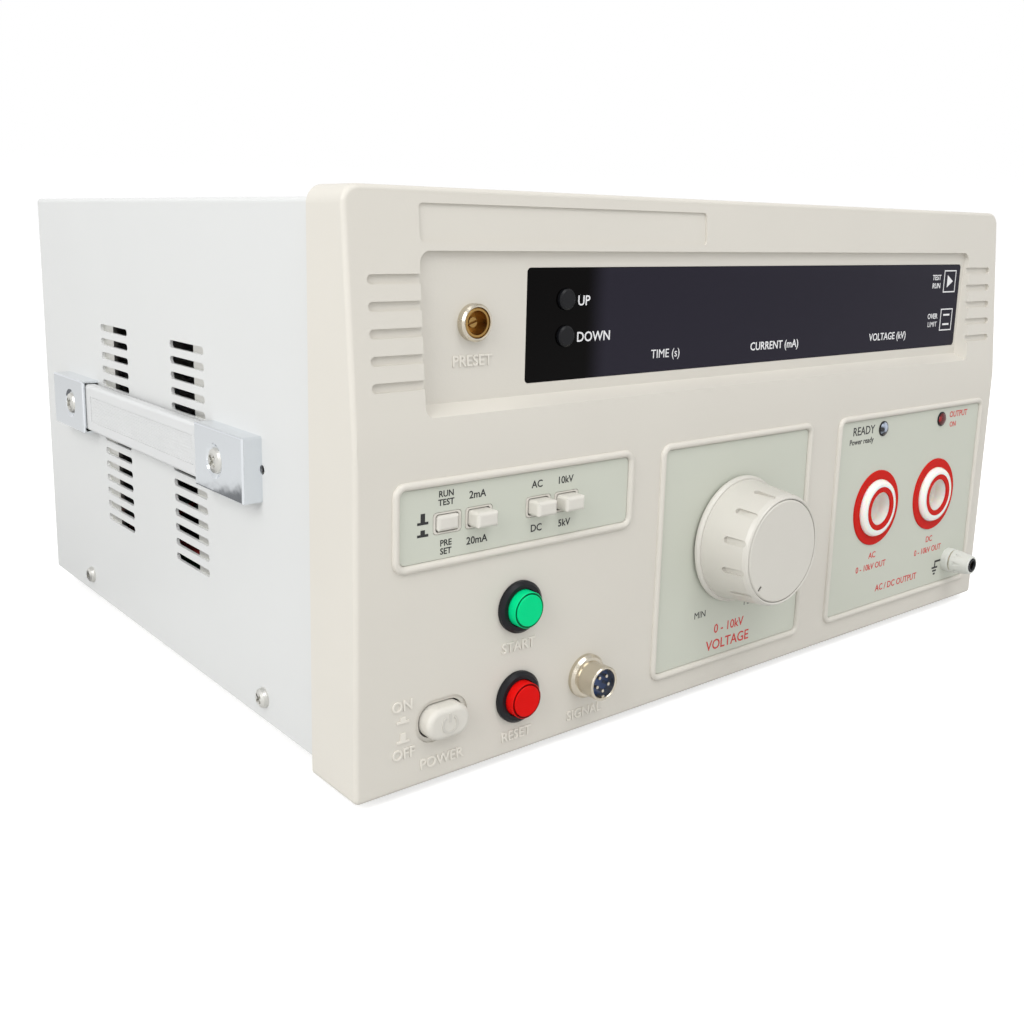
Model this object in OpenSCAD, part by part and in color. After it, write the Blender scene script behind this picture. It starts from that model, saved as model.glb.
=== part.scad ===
// Benchtop high-voltage (hipot) tester: moulded front bezel with controls, sheet-steel cabinet,
// side strap handles, variable transformer, high-voltage transformer and rear mains inlet.
// Millimetres, +Z up, front faces -Y, origin under the middle of the object at foot level.

/* [Front bezel] */
// Width of the moulded bezel
bezel_w = 350; // [346:1:390]
// Height of the bezel
bezel_h = 181; // [176:1:190]
// Depth of the bezel from the lower face to its rear rim
bezel_d = 25.6; // [25:0.2:36]
// Height of the leaning upper face
upper_h = 73; // [72:0.5:75]
// How far the top edge leans back
lean_back = 6.3; // [5:0.1:7]
// Radius of the upper corners in front view
corner_r = 5.5; // [4:0.5:7]
// Radius of the lower corners
base_r = 2; // [2:0.25:3]
// Radius round the front edges
edge_r = 1.6; // [1:0.1:2]
// Wall of the front face
face_t = 3; // [2.6:0.1:3.6]

/* [Display recess] */
// Half width of the recess
rec_half = 150.3; // [149:0.1:153]
// Rise of the recess's lower edge above the bend
rec_rise = 7; // [6:0.5:8]
// Face left above the recess
rec_head = 18; // [17:0.5:20]
// Corner radius of the recess
rec_r = 4; // [2:0.5:5]
// Draft of the recess side walls at full depth
rec_draft = 2; // [0.5:0.1:2.4]
// Depth of the upright recess floor behind the lower face
rec_floor = 6.4; // [6:0.1:7]
// Wall behind the recess floor
rec_wall = 2.6; // [2.4:0.1:3.5]
// Floor left of the window, where the preset sits
pre_space = 42; // [40:0.5:46]
// Floor right of the window
win_gap = 3.3; // [3:0.1:5]
// Window height
win_h = 36; // [33:0.5:37]
// Window thickness
win_t = 2; // [1.6:0.1:2]

/* [Finger grooves] */
// Length of each groove beside the recess
groove_len = 18; // [14:0.5:19]
// Groove height
groove_h = 2.8; // [2:0.1:4]
// Groove pitch
groove_pitch = 7.6; // [7:0.1:8]
// Groove depth
groove_dep = 1.1; // [0.8:0.1:2]

/* [Cabinet] */
// Inset of the cabinet sides from the bezel sides
cab_inset = 2.5; // [2.3:0.1:4]
// Drop of the cabinet top below the bezel top
cab_drop = 3.5; // [3:0.1:5]
// Rise of the cabinet bottom above the bezel bottom
cab_rise = 4.2; // [3:0.1:5]
// Rear of the cabinet behind the lower front face
cab_rear = 276.8; // [272:0.2:310]
// Sheet thickness
sheet_t = 1.2; // [0.8:0.1:1.5]
// Length of cover hidden inside the bezel rim
cover_lap = 6; // [4:0.5:8]
// Height of the tray's upturned edges
tray_lip = 18; // [16:0.5:22]

/* [Side vents] */
// Slot length
vent_len = 29; // [20:0.5:32]
// Slot height
vent_h = 2.8; // [2:0.1:3.6]
// Row pitch
vent_pitch = 5.75; // [5:0.05:6]
// Rows in each column
vent_rows = 15; // [10:1:16]
// Height of the lowest row
vent_z = 45; // [40:0.5:50]
// Distance between the two columns
vent_span = 71; // [64:0.5:80]

/* [Handles] */
// Middle of the handle behind the front face
handle_y = 153; // [148:0.5:160]
// Height of the handle axis
handle_z = 91.4; // [85:0.2:98]
// Overall length
handle_len = 184.8; // [170:0.2:200]
// Cap length
cap_len = 36.5; // [32:0.5:40]
// Cap height
cap_h = 22; // [21.5:0.5:25]
// Cap thickness off the cabinet
cap_t = 7; // [6.8:0.1:9]
// Cap wall
cap_wall = 0.8; // [0.6:0.1:0.9]
// Fixing screw distance from the cap's outer end
cap_screw = 21; // [18:0.5:23]
// Strap height
strap_h = 19.6; // [16:0.2:19.8]
// Strap thickness
strap_t = 3.6; // [3:0.1:3.8]
// Space between strap and cabinet
strap_gap = 1.8; // [1.5:0.1:2]

/* [Feet] */
// How far the feet reach below the bezel
foot_drop = 3; // [2:0.5:8]
// Foot radius
foot_r = 9; // [7:0.5:12]
// Foot inset from the cabinet edges
foot_in = 24; // [20:1:40]

/* [Panel frames] */
// Radius of the half-round beads
bead_r = 1.25; // [0.8:0.05:1.4]
// Corner radius of the bead centre line
bead_turn = 3.2; // [2:0.1:4]
// Thickness of the printed overlays
ov_t = 0.5; // [0.3:0.1:0.8]
// Left margin of the switch frame
sw_margin = 12.5; // [11:0.5:13]
// Width of the switch frame
sw_w = 98.5; // [97:0.5:102]
// Height of the switch frame
sw_h = 27.7; // [26:0.1:28]
// Width of the regulator frame
reg_w = 87.1; // [84:0.1:90]
// Face left below the two tall frames
frame_foot = 8.6; // [7:0.1:10]
// Face left between the frames and the bend
frame_head = 11; // [10:0.1:12]
// Right margin of the output frame
out_margin = 8; // [7:0.5:10]
// Width of the output frame
out_w = 113.2; // [112:0.1:116]

/* [Selector keys] */
// Key cap width
key_w = 8.1; // [7.6:0.1:9.6]
// Key cap height
key_h = 5; // [4.6:0.1:6]
// Projection of a released key
key_out = 5; // [4.6:0.1:6]
// Key travel
key_travel = 4; // [3:0.1:4]
// Pitch of two neighbouring keys
key_pitch = 12; // [11.8:0.1:12.4]

/* [Start, reset and power] */
// Radius of the black flange
pb_flange_r = 8.7; // [8.5:0.1:10]
// Radius of the threaded barrel
pb_barrel_r = 7.8; // [7.4:0.1:8]
// Radius of the push cap
pb_cap_r = 6.1; // [5.6:0.1:6.3]
// Projection of the push cap
pb_out = 5.6; // [4.5:0.1:6.5]
// Push travel
pb_travel = 2; // [1:0.1:2.4]
// Power key width
pow_w = 16.2; // [15:0.1:18]
// Power key height
pow_h = 10.4; // [10:0.1:12]
// Power key projection
pow_out = 4.5; // [4.2:0.1:6]
// Power key travel
pow_travel = 4; // [3:0.1:4.4]

/* [Regulator] */
// Radius of the knob skirt
skirt_r = 24.35; // [23.6:0.05:26]
// Radius of the knob body at the skirt
knob_r1 = 23; // [22:0.1:23.4]
// Radius of the knob body at the front
knob_r2 = 21; // [20.6:0.1:21.8]
// Projection of the knob
knob_out = 22.2; // [20:0.1:25]
// Radius of the separate front disc
disc_r = 19.1; // [17:0.1:19.2]
// Number of grip slots
grip_n = 12; // [8:1:16]
// Shaft radius
shaft_r = 3; // [2.5:0.1:3.5]
// Radius of the variable transformer's winding
variac_r = 46; // [42:0.5:47]
// Length of the winding
variac_len = 50; // [40:0.5:60]

/* [Outputs] */
// Radius of the red flange disc
hv_flange_r = 16.5; // [15:0.1:18]
// Radius of the white boss
hv_boss_r = 12.5; // [12.4:0.05:13.5]
// Radius of the barrel behind the panel
hv_barrel_r = 12; // [11.5:0.1:12.2]
// Radius of the socket bore
hv_bore_r = 7.25; // [6:0.05:7.5]
// Depth of the straight socket mouth behind the panel
hv_depth = 3; // [2:0.5:6]
// Length of the funnel from the mouth to the contact
hv_cone = 8; // [6:0.5:12]
// Projection of the boss
hv_out = 2.6; // [2.4:0.1:4]
// Radius of the indicator lamps
lamp_r = 2.8; // [2.5:0.1:3]
// Distance between the two sockets
hv_pitch = 45.5; // [44:0.1:46]
// Ground plug bore radius
plug_r = 2.03; // [2:0.01:2.1]
// Ground stud radius
stud_r = 3; // [2.8:0.05:3.1]
// Projection of the ground terminal
post_out = 12.7; // [11:0.1:14]

/* [Hidden] */
$fn = 40;
fit = 0.15;
run = 0.06;
eps = 1;

// cabinet sizes that follow the bezel
cab_half = bezel_w/2 - cab_inset;
cab_top = bezel_h - cab_drop;
cab_front = bezel_d - cover_lap;
in_half = cab_half - sheet_t;
tray_t = 1.5;
tray_top = cab_rise + tray_t;
tray_half = in_half - 0.2;
rear_t = 1.5;
rear_in = cab_rear - rear_t;
lip_z = cab_rise + tray_lip;
front_lip = 6;
bend_z = bezel_h - upper_h;
lean = atan(lean_back/upper_h);
lean_len = upper_h/cos(lean);
function face_y(z) = z < bend_z ? 0 : (z - bend_z)*tan(lean);
back_y = rec_floor + rec_wall;
rec_bottom = bend_z + rec_rise;
rec_top = bezel_h - rec_head;
win_w = 2*rec_half - pre_space - win_gap;
win_x = rec_half - win_gap - win_w/2;
win_z = (rec_bottom + rec_top)/2 + 0.8;
rim_gap = 0.25;
shoulder = 1.6;

// panel places
tall_top = bend_z - frame_head;
tall_h = tall_top - frame_foot;
tall_z = (tall_top + frame_foot)/2;
sw_z = tall_top - sw_h/2;
sw_left = -bezel_w/2 + sw_margin;
sw_x = sw_left + sw_w/2;
reg_x = -7;
reg_z = tall_z + 3.7;
out_right = bezel_w/2 - out_margin;
out_x = out_right - out_w/2;
key_x0 = sw_left + 19.9;
key_z = sw_z - 0.15;
key_slots = [0, 1, 3, 4];
push_x = sw_left + 49;
reset_z = 19.9;
start_z = (sw_z - sw_h/2 + reset_z)/2 + 6.1;
pow_x = sw_left + 18.8;
pow_z = 20.2;
ctl_x = sw_left + 79.5;
ctl_z = 19.7;
hv_x = [out_right - 80.7, out_right - 80.7 + hv_pitch];
hv_z = tall_z + 2.2;
lamp_x = [hv_x[0] + 0.2, hv_x[1] + 0.7];
lamp_z = tall_top - 7.4;
lamp_rim = lamp_r + 0.45;
lamp_barrel = lamp_r + 0.3;
post_x = out_right - 17;
post_z = frame_foot + 12.4;
post_barrel = 3.9;
up_x = win_x - win_w/2 + 16.3;
up_z = win_z + 8;
down_z = win_z - 3.8;
tip_r = 3.4;
pre_x = -rec_half + 20.8;
pre_z = win_z + 2;
pre_barrel = 4.7;
ctl_r = 6;
name_w = 123;
name_h = 11;
name_x = -rec_half + 0.3 + name_w/2;
name_drop = 10.1;

// rear inlet
inlet_x = -95;
inlet_z = 52;
inlet_w = 50;
inlet_h = 34;
inlet_t = 3;
inlet_body_w = 28;
inlet_body_d = 27;
inlet_body_h = inlet_h - 4;
inlet_screw = 20;
plug_w = 24.6;
plug_h = 17;
plug_dep = 17;
plug_dz = 5.5;
drawer_w = 24;
drawer_h = 8;
drawer_dz = -9.6;
drawer_lip = 1.2;
drawer_len = 24;
rear_out = cab_rear + inlet_t + drawer_lip;
y_shift = (knob_out - rear_out)/2;

// variable transformer
plate_y = 42;
plate_t = 4;
plate_w = 84;
wind_y = plate_y + plate_t + 0.1;
wind_end = wind_y + variac_len;
wind_in = 20.5;
board_y = back_y + 7.4;
pcb_t = 1.6;

// colours
c_bezel = "#dcd8d0";
c_cab = "#e9e9e7";
c_plate = "#c6cbbe";
c_dark = "#1b191b";
c_white = "#f4f1ec";
c_red = "#d53024";
c_steel = "#b9bdc0";
c_brass = "#b98a3c";
c_copper = "#a8602c";
c_board = "#2f6b46";

// shared shapes
module place() translate([0, y_shift, foot_drop]) children();
module at(x, z) translate([x, 0, z]) children();
module along_y(y0, y1) translate([0, y1, 0]) rotate([90, 0, 0]) linear_extrude(y1 - y0) children();
module along_x(x0, x1) translate([x0, 0, 0]) rotate([90, 0, 90]) linear_extrude(x1 - x0) children();
module rod(r, y0, y1, r_end = -1)
    translate([0, y0, 0]) rotate([-90, 0, 0]) cylinder(h = y1 - y0, r1 = r, r2 = r_end < 0 ? r : r_end);
module turned(profile) rotate([-90, 0, 0]) rotate_extrude() polygon(profile);
module block(x0, x1, y0, y1, z0, z1) translate([x0, y0, z0]) cube([x1 - x0, y1 - y0, z1 - z0]);

// rounded rectangle about its centre
module rr(w, h, r) {
    square([w - 2*r, h], center = true);
    square([w, h - 2*r], center = true);
    for (sx = [-1, 1], sy = [-1, 1]) translate([sx*(w/2 - r), sy*(h/2 - r)]) circle(r);
}

// plan outline with rounded front corners at y = 0
module front_round(w, d, r) {
    translate([-w/2, r]) square([w, d - r]);
    translate([-w/2 + r, 0]) square([w - 2*r, d]);
    for (s = [-1, 1]) translate([s*(w/2 - r), r]) circle(r);
}

// the same outline seen from the side
module side_round(h, d, r) {
    translate([r, -h/2]) square([d - r, h]);
    translate([0, -h/2 + r]) square([d, h - 2*r]);
    for (s = [-1, 1]) translate([r, s*(h/2 - r)]) circle(r);
}

// block with a softened front, front face at y = 0
module soft_block(w, h, d, r, cr) intersection() {
    along_y(0, d) rr(w, h, cr);
    translate([0, 0, -h/2]) linear_extrude(h) front_round(w, d, r);
    along_x(-w/2, w/2) side_round(h, d, r);
}

// stadium cap with a rounded front edge, front face at y = 0
module pill(w, h, d, e) {
    along_x(h/2 - w/2, w/2 - h/2) side_round(h, d, e);
    for (s = [-1, 1]) translate([s*(w - h)/2, 0, 0]) rotate([-90, 0, 0]) rotate_extrude() {
        translate([0, e]) square([h/2, d - e]);
        square([h/2 - e, d]);
        translate([h/2 - e, e]) circle(e);
    }
}

// rectangular sleeve outline, open at the bottom
module hood(half, z0, z1, r) {
    translate([-half, z0]) square([2*half, z1 - z0 - r]);
    translate([-half + r, z0]) square([2*half - 2*r, z1 - z0]);
    for (s = [-1, 1]) translate([s*(half - r), z1 - r]) circle(r);
}

// half-round bead round a panel frame, on the lower face
module bead_frame(w, h) {
    sx = w/2 - bead_r - bead_turn;
    sz = h/2 - bead_r - bead_turn;
    for (s = [-1, 1]) {
        translate([-sx, 0, s*(h/2 - bead_r)]) rotate([0, 90, 0]) cylinder(h = 2*sx, r = bead_r);
        translate([s*(w/2 - bead_r), 0, -sz]) cylinder(h = 2*sz, r = bead_r);
    }
    for (k = [0:3]) {
        side_x = k == 0 || k == 3 ? 1 : -1;
        side_z = k < 2 ? 1 : -1;
        translate([side_x*sx, 0, side_z*sz]) rotate([90, 0, 0]) rotate([0, 0, 90*k])
            rotate_extrude(angle = 90) translate([bead_turn, 0]) circle(bead_r);
    }
}

// outline inside a bead frame
module frame_field(w, h, gap = 0) 
    rr(w - 4*bead_r - 2*gap, h - 4*bead_r - 2*gap, bead_turn - bead_r);

// slot outline, long axis across
module slot(len, h) {
    square([len - h, h], center = true);
    for (s = [-1, 1]) translate([s*(len - h)/2, 0]) circle(h/2);
}

module hex_nut(r_flat, bore, y0, y1) difference() {
    translate([0, y0, 0]) rotate([-90, 0, 0]) cylinder(h = y1 - y0, r = r_flat/cos(30), $fn = 6);
    rod(bore, y0 - eps, y1 + eps);
}

// pan head screw with a cross recess, pointing along +x from its seat at x = 0
module side_screw(head_r, head_t, shank_r, len) difference() {
    rotate([0, 90, 0]) rotate_extrude()
        polygon([[0, -head_t], [head_r*0.6, -head_t], [head_r*0.9, -head_t*0.7], [head_r, -head_t*0.2],
            [head_r, 0], [shank_r, 0], [shank_r, len], [0, len]]);
    for (a = [45, 135]) rotate([a, 0, 0]) translate([-head_t, 0, 0])
        cube([head_t*1.1, head_r*1.1, head_r*0.28], center = true);
}

// places of the repeated pieces
module each_key() for (i = [0:3]) at(key_x0 + key_slots[i]*key_pitch, key_z) children();
module each_push() for (z = [start_z, reset_z]) at(push_x, z) children();
module each_hv() for (x = hv_x) at(x, hv_z) children();
module each_lamp() for (x = lamp_x) at(x, lamp_z) children();
module on_lean() translate([0, 0, bend_z]) rotate([-lean, 0, 0]) children();
module both_sides() for (s = [0, 1]) mirror([s, 0, 0]) children();
board_posts = [for (x = [win_x - win_w/2 + 8, win_x + win_w/2 - 4], s = [-1, 1])
    [x, win_z + s*(win_h/2 + 3)]];
bank_posts = [key_x0 - 12, key_x0 + 4*key_pitch + 12];
pow_posts = [pow_x - 14.5, pow_x + 14.5];

// front-view outline of the bezel, rounder above than below
module bezel_outline() {
    half = bezel_w/2;
    translate([-half, base_r]) square([bezel_w, bezel_h - base_r - corner_r]);
    translate([-half + base_r, 0]) square([bezel_w - 2*base_r, base_r + eps]);
    translate([-half + corner_r, bezel_h - corner_r - eps]) square([bezel_w - 2*corner_r, corner_r + eps]);
    for (s = [-1, 1]) {
        translate([s*(half - base_r), base_r]) circle(base_r);
        translate([s*(half - corner_r), bezel_h - corner_r]) circle(corner_r);
    }
}

// what a rounded front edge takes off one corner of the outline, r in front view, e round the edge
module corner_cut(r, e, turn)
    rotate([-90, 0, 0]) rotate([0, 0, turn]) rotate_extrude(angle = 90) difference() {
        translate([r - e, -eps]) square([e + eps, e + eps]);
        translate([r - e, e]) circle(e);
    }

// outer skin of the bezel: front outline, side profile and rounded edges of both faces
module bezel_skin() {
    bend = 8;
    arc_n = 6;
    top_y = face_y(bezel_h);
    tan_t = edge_r*tan(45 + lean/2);
    run_y = face_y(bezel_h) - tan_t*sin(lean);
    run_z = bezel_h - tan_t*cos(lean);
    intersection() {
        along_y(-eps, bezel_d) bezel_outline();
        along_x(-bezel_w/2 - eps, bezel_w/2 + eps) {
            polygon(concat([[bezel_d, 0], [edge_r, 0], [0, edge_r]],
                [for (i = [0:arc_n]) let (z = bend_z - bend + 2*bend*i/arc_n)
                    [tan(lean)*pow(z - bend_z + bend, 2)/(4*bend), z]],
                [[run_y, run_z], [top_y + edge_r*(1 - sin(lean))/cos(lean), bezel_h], [bezel_d, bezel_h]]));
            translate([edge_r, edge_r]) circle(edge_r);
            translate([top_y + edge_r*(1 - sin(lean))/cos(lean), bezel_h - edge_r]) circle(edge_r);
        }
        translate([0, 0, -eps]) linear_extrude(bezel_h + 2*eps)
            front_round(bezel_w, bezel_d + eps, edge_r);
        on_lean() translate([0, 0, -bezel_h]) linear_extrude(2*bezel_h)
            front_round(bezel_w, 2*bezel_d, edge_r);
    }
}

// display recess: sloping lower ledge, drafted sides and rounded corners
module display_recess() {
    mouth = 5;
    ledge_slope = 0.52;
    ledge = (rec_floor - face_y(rec_bottom))*ledge_slope;
    intersection() {
        along_x(-rec_half - eps, rec_half + eps) polygon([[rec_floor, rec_bottom + ledge],
            [rec_floor, rec_top], [-mouth, rec_top],
            [-mouth, rec_bottom - (mouth + face_y(rec_bottom))*ledge_slope]]);
        along_y(-mouth + eps, rec_floor + eps) translate([0, (rec_bottom + rec_top)/2 - 0.2])
            rr(2*rec_half, rec_top - rec_bottom + 0.6, rec_r);
        on_lean() linear_extrude(lean_len) polygon([[-rec_half, 0], [-rec_half - eps, -2*mouth],
            [rec_half + eps, -2*mouth], [rec_half, 0], [rec_half - rec_draft, rec_floor],
            [-rec_half + rec_draft, rec_floor]]);
    }
}

module front_bezel() place() color(c_bezel) difference() {
    step_z = rec_bottom - 2;
    hollow = cab_half - shoulder;
    union() {
        difference() {
            bezel_skin();
            for (s = [-1, 1]) {
                at(s*(bezel_w/2 - base_r), base_r) corner_cut(base_r, edge_r, 45 - s*45);
                on_lean() at(s*(bezel_w/2 - corner_r), lean_len - corner_r)
                    corner_cut(corner_r + 0.1, edge_r, 225 + s*45);
            }
            // rear pocket for the cover, then the two-level hollow behind the face
            along_y(cab_front - rim_gap, bezel_d + eps) translate([0, (cab_top + cab_rise)/2])
                square([2*(cab_half + rim_gap), cab_top - cab_rise + 2*rim_gap], center = true);
            block(-hollow, hollow, face_t, bezel_d + eps, cab_rise + shoulder, step_z);
            block(-hollow, hollow, back_y, bezel_d + eps, step_z - eps, cab_top - shoulder);
            display_recess();
            // bare name recess above the window
            on_lean() along_y(-eps, 0.7) translate([name_x, lean_len - name_drop]) rr(name_w, name_h, 1.5);
            // finger grooves that open into the recess
            for (i = [-2:2]) on_lean() both_sides() along_y(-3, groove_dep)
                translate([rec_half + groove_len/2 - groove_h, (win_z + 0.2 - bend_z)/cos(lean)])
                    translate([0, i*groove_pitch]) slot(groove_len + 2*groove_h, groove_h);
        }
        // beads, key collars and fixing posts
        at(sw_x, sw_z) bead_frame(sw_w, sw_h);
        at(reg_x, tall_z) bead_frame(reg_w, tall_h);
        at(out_x, tall_z) bead_frame(out_w, tall_h);
        for (p = board_posts) at(p[0], p[1]) rod(3, back_y - eps, board_y);
        for (x = bank_posts) at(x, key_z) rod(3, face_t - eps, bank_y);
        for (x = pow_posts) at(x, pow_z) rod(2.6, face_t - eps, pow_sw_y);
    }
    // overlay seats, leaving the key collars standing
    difference() {
        at(sw_x, sw_z) along_y(-0.02, ov_t) frame_field(sw_w, sw_h);
        each_key() along_y(-2, ov_t + eps) rr(key_w + 2.2, key_h + 1.6, 1.2);
    }
    at(reg_x, tall_z) along_y(-0.02, ov_t) frame_field(reg_w, tall_h);
    at(out_x, tall_z) along_y(-0.02, ov_t) frame_field(out_w, tall_h);
    // openings for the controls
    each_key() along_y(-3, face_t + eps) rr(key_w + 0.6, key_h + 0.6, 1);
    each_push() rod(pb_barrel_r + fit, -eps, face_t + eps);
    at(pow_x, pow_z) along_y(-eps, face_t + eps) rr(pow_w + 0.8, pow_h + 0.8, pow_h/2);
    at(pow_x, pow_z) along_y(-eps, 0.6) rr(pow_w + 3.4, pow_h + 3.4, pow_h/2 + 1.2);
    at(ctl_x, ctl_z) rod(ctl_r + fit, -eps, face_t + eps);
    at(reg_x, reg_z) rod(shaft_r + 1.5, -eps, face_t + eps);
    each_hv() rod(hv_barrel_r + fit, -eps, face_t + eps);
    each_lamp() rod(lamp_barrel + fit, -eps, face_t + eps);
    at(post_x, post_z) rod(post_barrel + fit, -eps, face_t + eps);
    at(pre_x, pre_z) rod(pre_barrel + fit, rec_floor - eps, back_y + eps);
    at(win_x, win_z) along_y(rec_floor - eps, rec_floor + win_t) rr(win_w + 2*fit, win_h + 2*fit, 1.5);
    at(win_x + 6, win_z) along_y(rec_floor, back_y + eps) rr(win_w - 22, win_h - 6, 1.5);
    at(up_x, (up_z + down_z)/2) along_y(rec_floor, back_y + eps) rr(12, 26, 1.5);
}

module panel_overlays() place() color(c_plate) {
    difference() {
        at(sw_x, sw_z) along_y(0, ov_t) frame_field(sw_w, sw_h, fit);
        each_key() along_y(-eps, ov_t + eps) rr(key_w + 2.2 + 2*fit, key_h + 1.6 + 2*fit, 1.2);
    }
    difference() {
        at(reg_x, tall_z) along_y(0, ov_t) frame_field(reg_w, tall_h, fit);
        at(reg_x, reg_z) rod(shaft_r + 1.5, -eps, ov_t + eps);
    }
    difference() {
        at(out_x, tall_z) along_y(0, ov_t) frame_field(out_w, tall_h, fit);
        each_hv() rod(hv_barrel_r + fit, -eps, ov_t + eps);
        each_lamp() rod(lamp_barrel + fit, -eps, ov_t + eps);
        at(post_x, post_z) rod(post_barrel + fit, -eps, ov_t + eps);
    }
}

// folded cover, open at the bottom, with side vents
side_screw_y = [handle_y - 90.5, handle_y + 75];
side_screw_z = cab_rise + 8;
rear_screws = [-tray_half + 14, 0, tray_half - 14];
cap_ends = [handle_y - handle_len/2, handle_y + handle_len/2];
handle_screw_y = [cap_ends[0] + cap_screw, cap_ends[1] - cap_screw];
module cabinet_cover() place() color(c_cab) difference() {
    along_y(cab_front, cab_rear) difference() {
        hood(cab_half, cab_rise, cab_top, 1.6);
        hood(in_half, cab_rise - eps, cab_top - sheet_t, 0.4);
    }
    along_x(-cab_half - eps, cab_half + eps) {
        for (c = [-1, 1], i = [0:vent_rows - 1])
            translate([handle_y + c*vent_span/2, vent_z + i*vent_pitch]) slot(vent_len, vent_h);
        for (y = side_screw_y) translate([y, side_screw_z]) circle(2.1);
        for (y = handle_screw_y) translate([y, handle_z]) circle(2.6);
        translate([cap_ends[0], handle_z]) circle(1.6);
    }
}

// bottom tray with upturned edges and screw holes
module chassis_tray() place() color(c_steel) difference() {
    union() {
        block(-tray_half, tray_half, cab_front + 2, rear_in, cab_rise, tray_top);
        both_sides() block(tray_half - tray_t, tray_half, bezel_d + 4, rear_in, cab_rise, lip_z);
        block(-tray_half, tray_half, rear_in - tray_t, rear_in, cab_rise, lip_z);
        translate([-tray_half + 12, cab_front + 2, cab_rise]) cube([2*tray_half - 24, tray_t, front_lip]);
    }
    for (x = rear_screws) at(x, side_screw_z) rod(2.1, rear_in - tray_t - eps, rear_in + eps);
    for (y = side_screw_y) translate([-tray_half - eps, y, side_screw_z]) rotate([0, 90, 0])
        cylinder(h = 2*tray_half + 2*eps, r = 2.1);
    for (x = [-cab_half + foot_in, cab_half - foot_in], y = [bezel_d + foot_in, cab_rear - foot_in])
        translate([x, y, cab_rise - eps]) cylinder(h = tray_t + 2*eps, r = 2.2);
}

module rear_panel() place() color(c_cab) difference() {
    along_y(rear_in, cab_rear) translate([0, (cab_rise + cab_top - sheet_t)/2])
        square([2*in_half - 0.3, cab_top - sheet_t - cab_rise - 0.3], center = true);
    at(inlet_x, inlet_z) along_y(rear_in - eps, cab_rear + eps)
        square([inlet_body_w + 2*fit, inlet_body_h + 2*fit], center = true);
    for (s = [-1, 1]) at(inlet_x + s*inlet_screw, inlet_z) rod(1.7, rear_in - eps, cab_rear + eps);
    for (c = [-1, 1], i = [0:7]) at(70 + c*22, 60 + i*vent_pitch*1.5)
        along_y(rear_in - eps, cab_rear + eps) slot(vent_len + 5, vent_h);
    for (x = rear_screws) at(x, side_screw_z) rod(2.1, rear_in - eps, cab_rear + eps);
}

module rubber_feet() place() color(c_dark)
    for (x = [-cab_half + foot_in, cab_half - foot_in], y = [bezel_d + foot_in, cab_rear - foot_in])
        translate([x, y, -foot_drop]) rotate_extrude() polygon([[3, 2], [3, 0], [foot_r - 1.5, 0],
            [foot_r - 0.6, 0.6], [foot_r, foot_drop + cab_rise], [2, foot_drop + cab_rise], [2, 2]]);

module case_screws() place() color(c_steel) {
    both_sides() for (y = side_screw_y) translate([-cab_half, y, side_screw_z]) side_screw(3.5, 2.2, 1.9, 8);
    for (x = rear_screws) translate([x, cab_rear, side_screw_z]) rotate([0, 0, -90]) side_screw(3, 2, 1.9, 8);
    for (s = [-1, 1]) translate([inlet_x + s*inlet_screw, cab_rear + inlet_t, inlet_z]) rotate([0, 0, -90])
        side_screw(2.8, drawer_lip, 1.5, 8);
}

// flat uprights spot-welded inside the cover behind the vents
stiff_w = 12;
stiff_t = 1.5;
stiff_off = vent_span/2 + 9.5;
module side_stiffeners() place() color(c_cab) both_sides()
    for (c = [-1, 1]) translate([in_half - stiff_t, handle_y + c*stiff_off - stiff_w/2, lip_z + 2])
        cube([stiff_t, stiff_w, cab_top - lip_z - 10]);

// flexible strap with a sunk ribbed band and slotted ends
rib_n = 9;
module handle_straps() place() color(c_cab) both_sides() difference() {
    q0 = cab_half + strap_gap;
    band = 10.6;
    rib = band/rib_n;
    sunk = 0.3;
    lip = cap_len + 5;
    ends = [cap_ends[0] + cap_wall + 2, cap_ends[1] - cap_wall - 2];
    along_y(ends[0], ends[1]) translate([q0, handle_z - strap_h/2]) {
        translate([0, 1.4]) square([strap_t, strap_h - 2.8]);
        square([strap_t - 1.4, strap_h]);
        for (z = [1.4, strap_h - 1.4]) translate([strap_t - 1.4, z]) circle(1.4);
    }
    translate([q0 + strap_t - sunk, cap_ends[0] + lip, handle_z - band/2]) difference() {
        cube([sunk + eps, handle_len - 2*lip, band]);
        for (i = [0:rib_n - 1]) translate([-eps, -eps, (i + 0.28)*rib])
            cube([sunk + eps - 0.15, handle_len, rib*0.44]);
    }
    along_x(q0 - eps, q0 + strap_t + eps) for (i = [0, 1])
        translate([handle_screw_y[i], handle_z]) slot(15, 10);
}

// hollow plated caps with a screw boss, open towards the strap
module handle_caps() place() color("#dfe2e6") both_sides() for (e = [0, 1]) {
    y_out = cap_ends[e];
    translate([cab_half, y_out, handle_z]) mirror([0, e, 0]) difference() {
        union() {
            difference() {
                intersection() {
                    along_x(0, cap_t) translate([cap_len/2, 0]) rr(cap_len, cap_h, 0.8);
                    translate([0, 0, -cap_h/2]) linear_extrude(cap_h) mirror([1, -1])
                        translate([cap_len/2, 0]) mirror([0, 1])
                        translate([0, -cap_t]) front_round(cap_len, cap_t, 0.7);
                    translate([0, cap_len, 0]) rotate([90, 0, 0]) linear_extrude(cap_len) mirror([1, 0])
                        translate([-cap_t, 0]) side_round(cap_h, cap_t, 0.7);
                }
                block(-eps, cap_t - cap_wall - 0.4, cap_wall, cap_len + eps,
                    -cap_h/2 + cap_wall, cap_h/2 - cap_wall);
            }
            translate([0, cap_screw, 0]) rotate([0, 90, 0]) cylinder(h = cap_t - 0.6, r = 4.2);
        }
        translate([-eps, cap_screw, 0]) rotate([0, 90, 0]) cylinder(h = cap_t + 2*eps, r = 2.6);
        translate([cap_t - 0.9, cap_screw, 0]) rotate([0, 90, 0]) cylinder(h = 1, r1 = 4.9, r2 = 6.2);
    }
}

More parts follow.
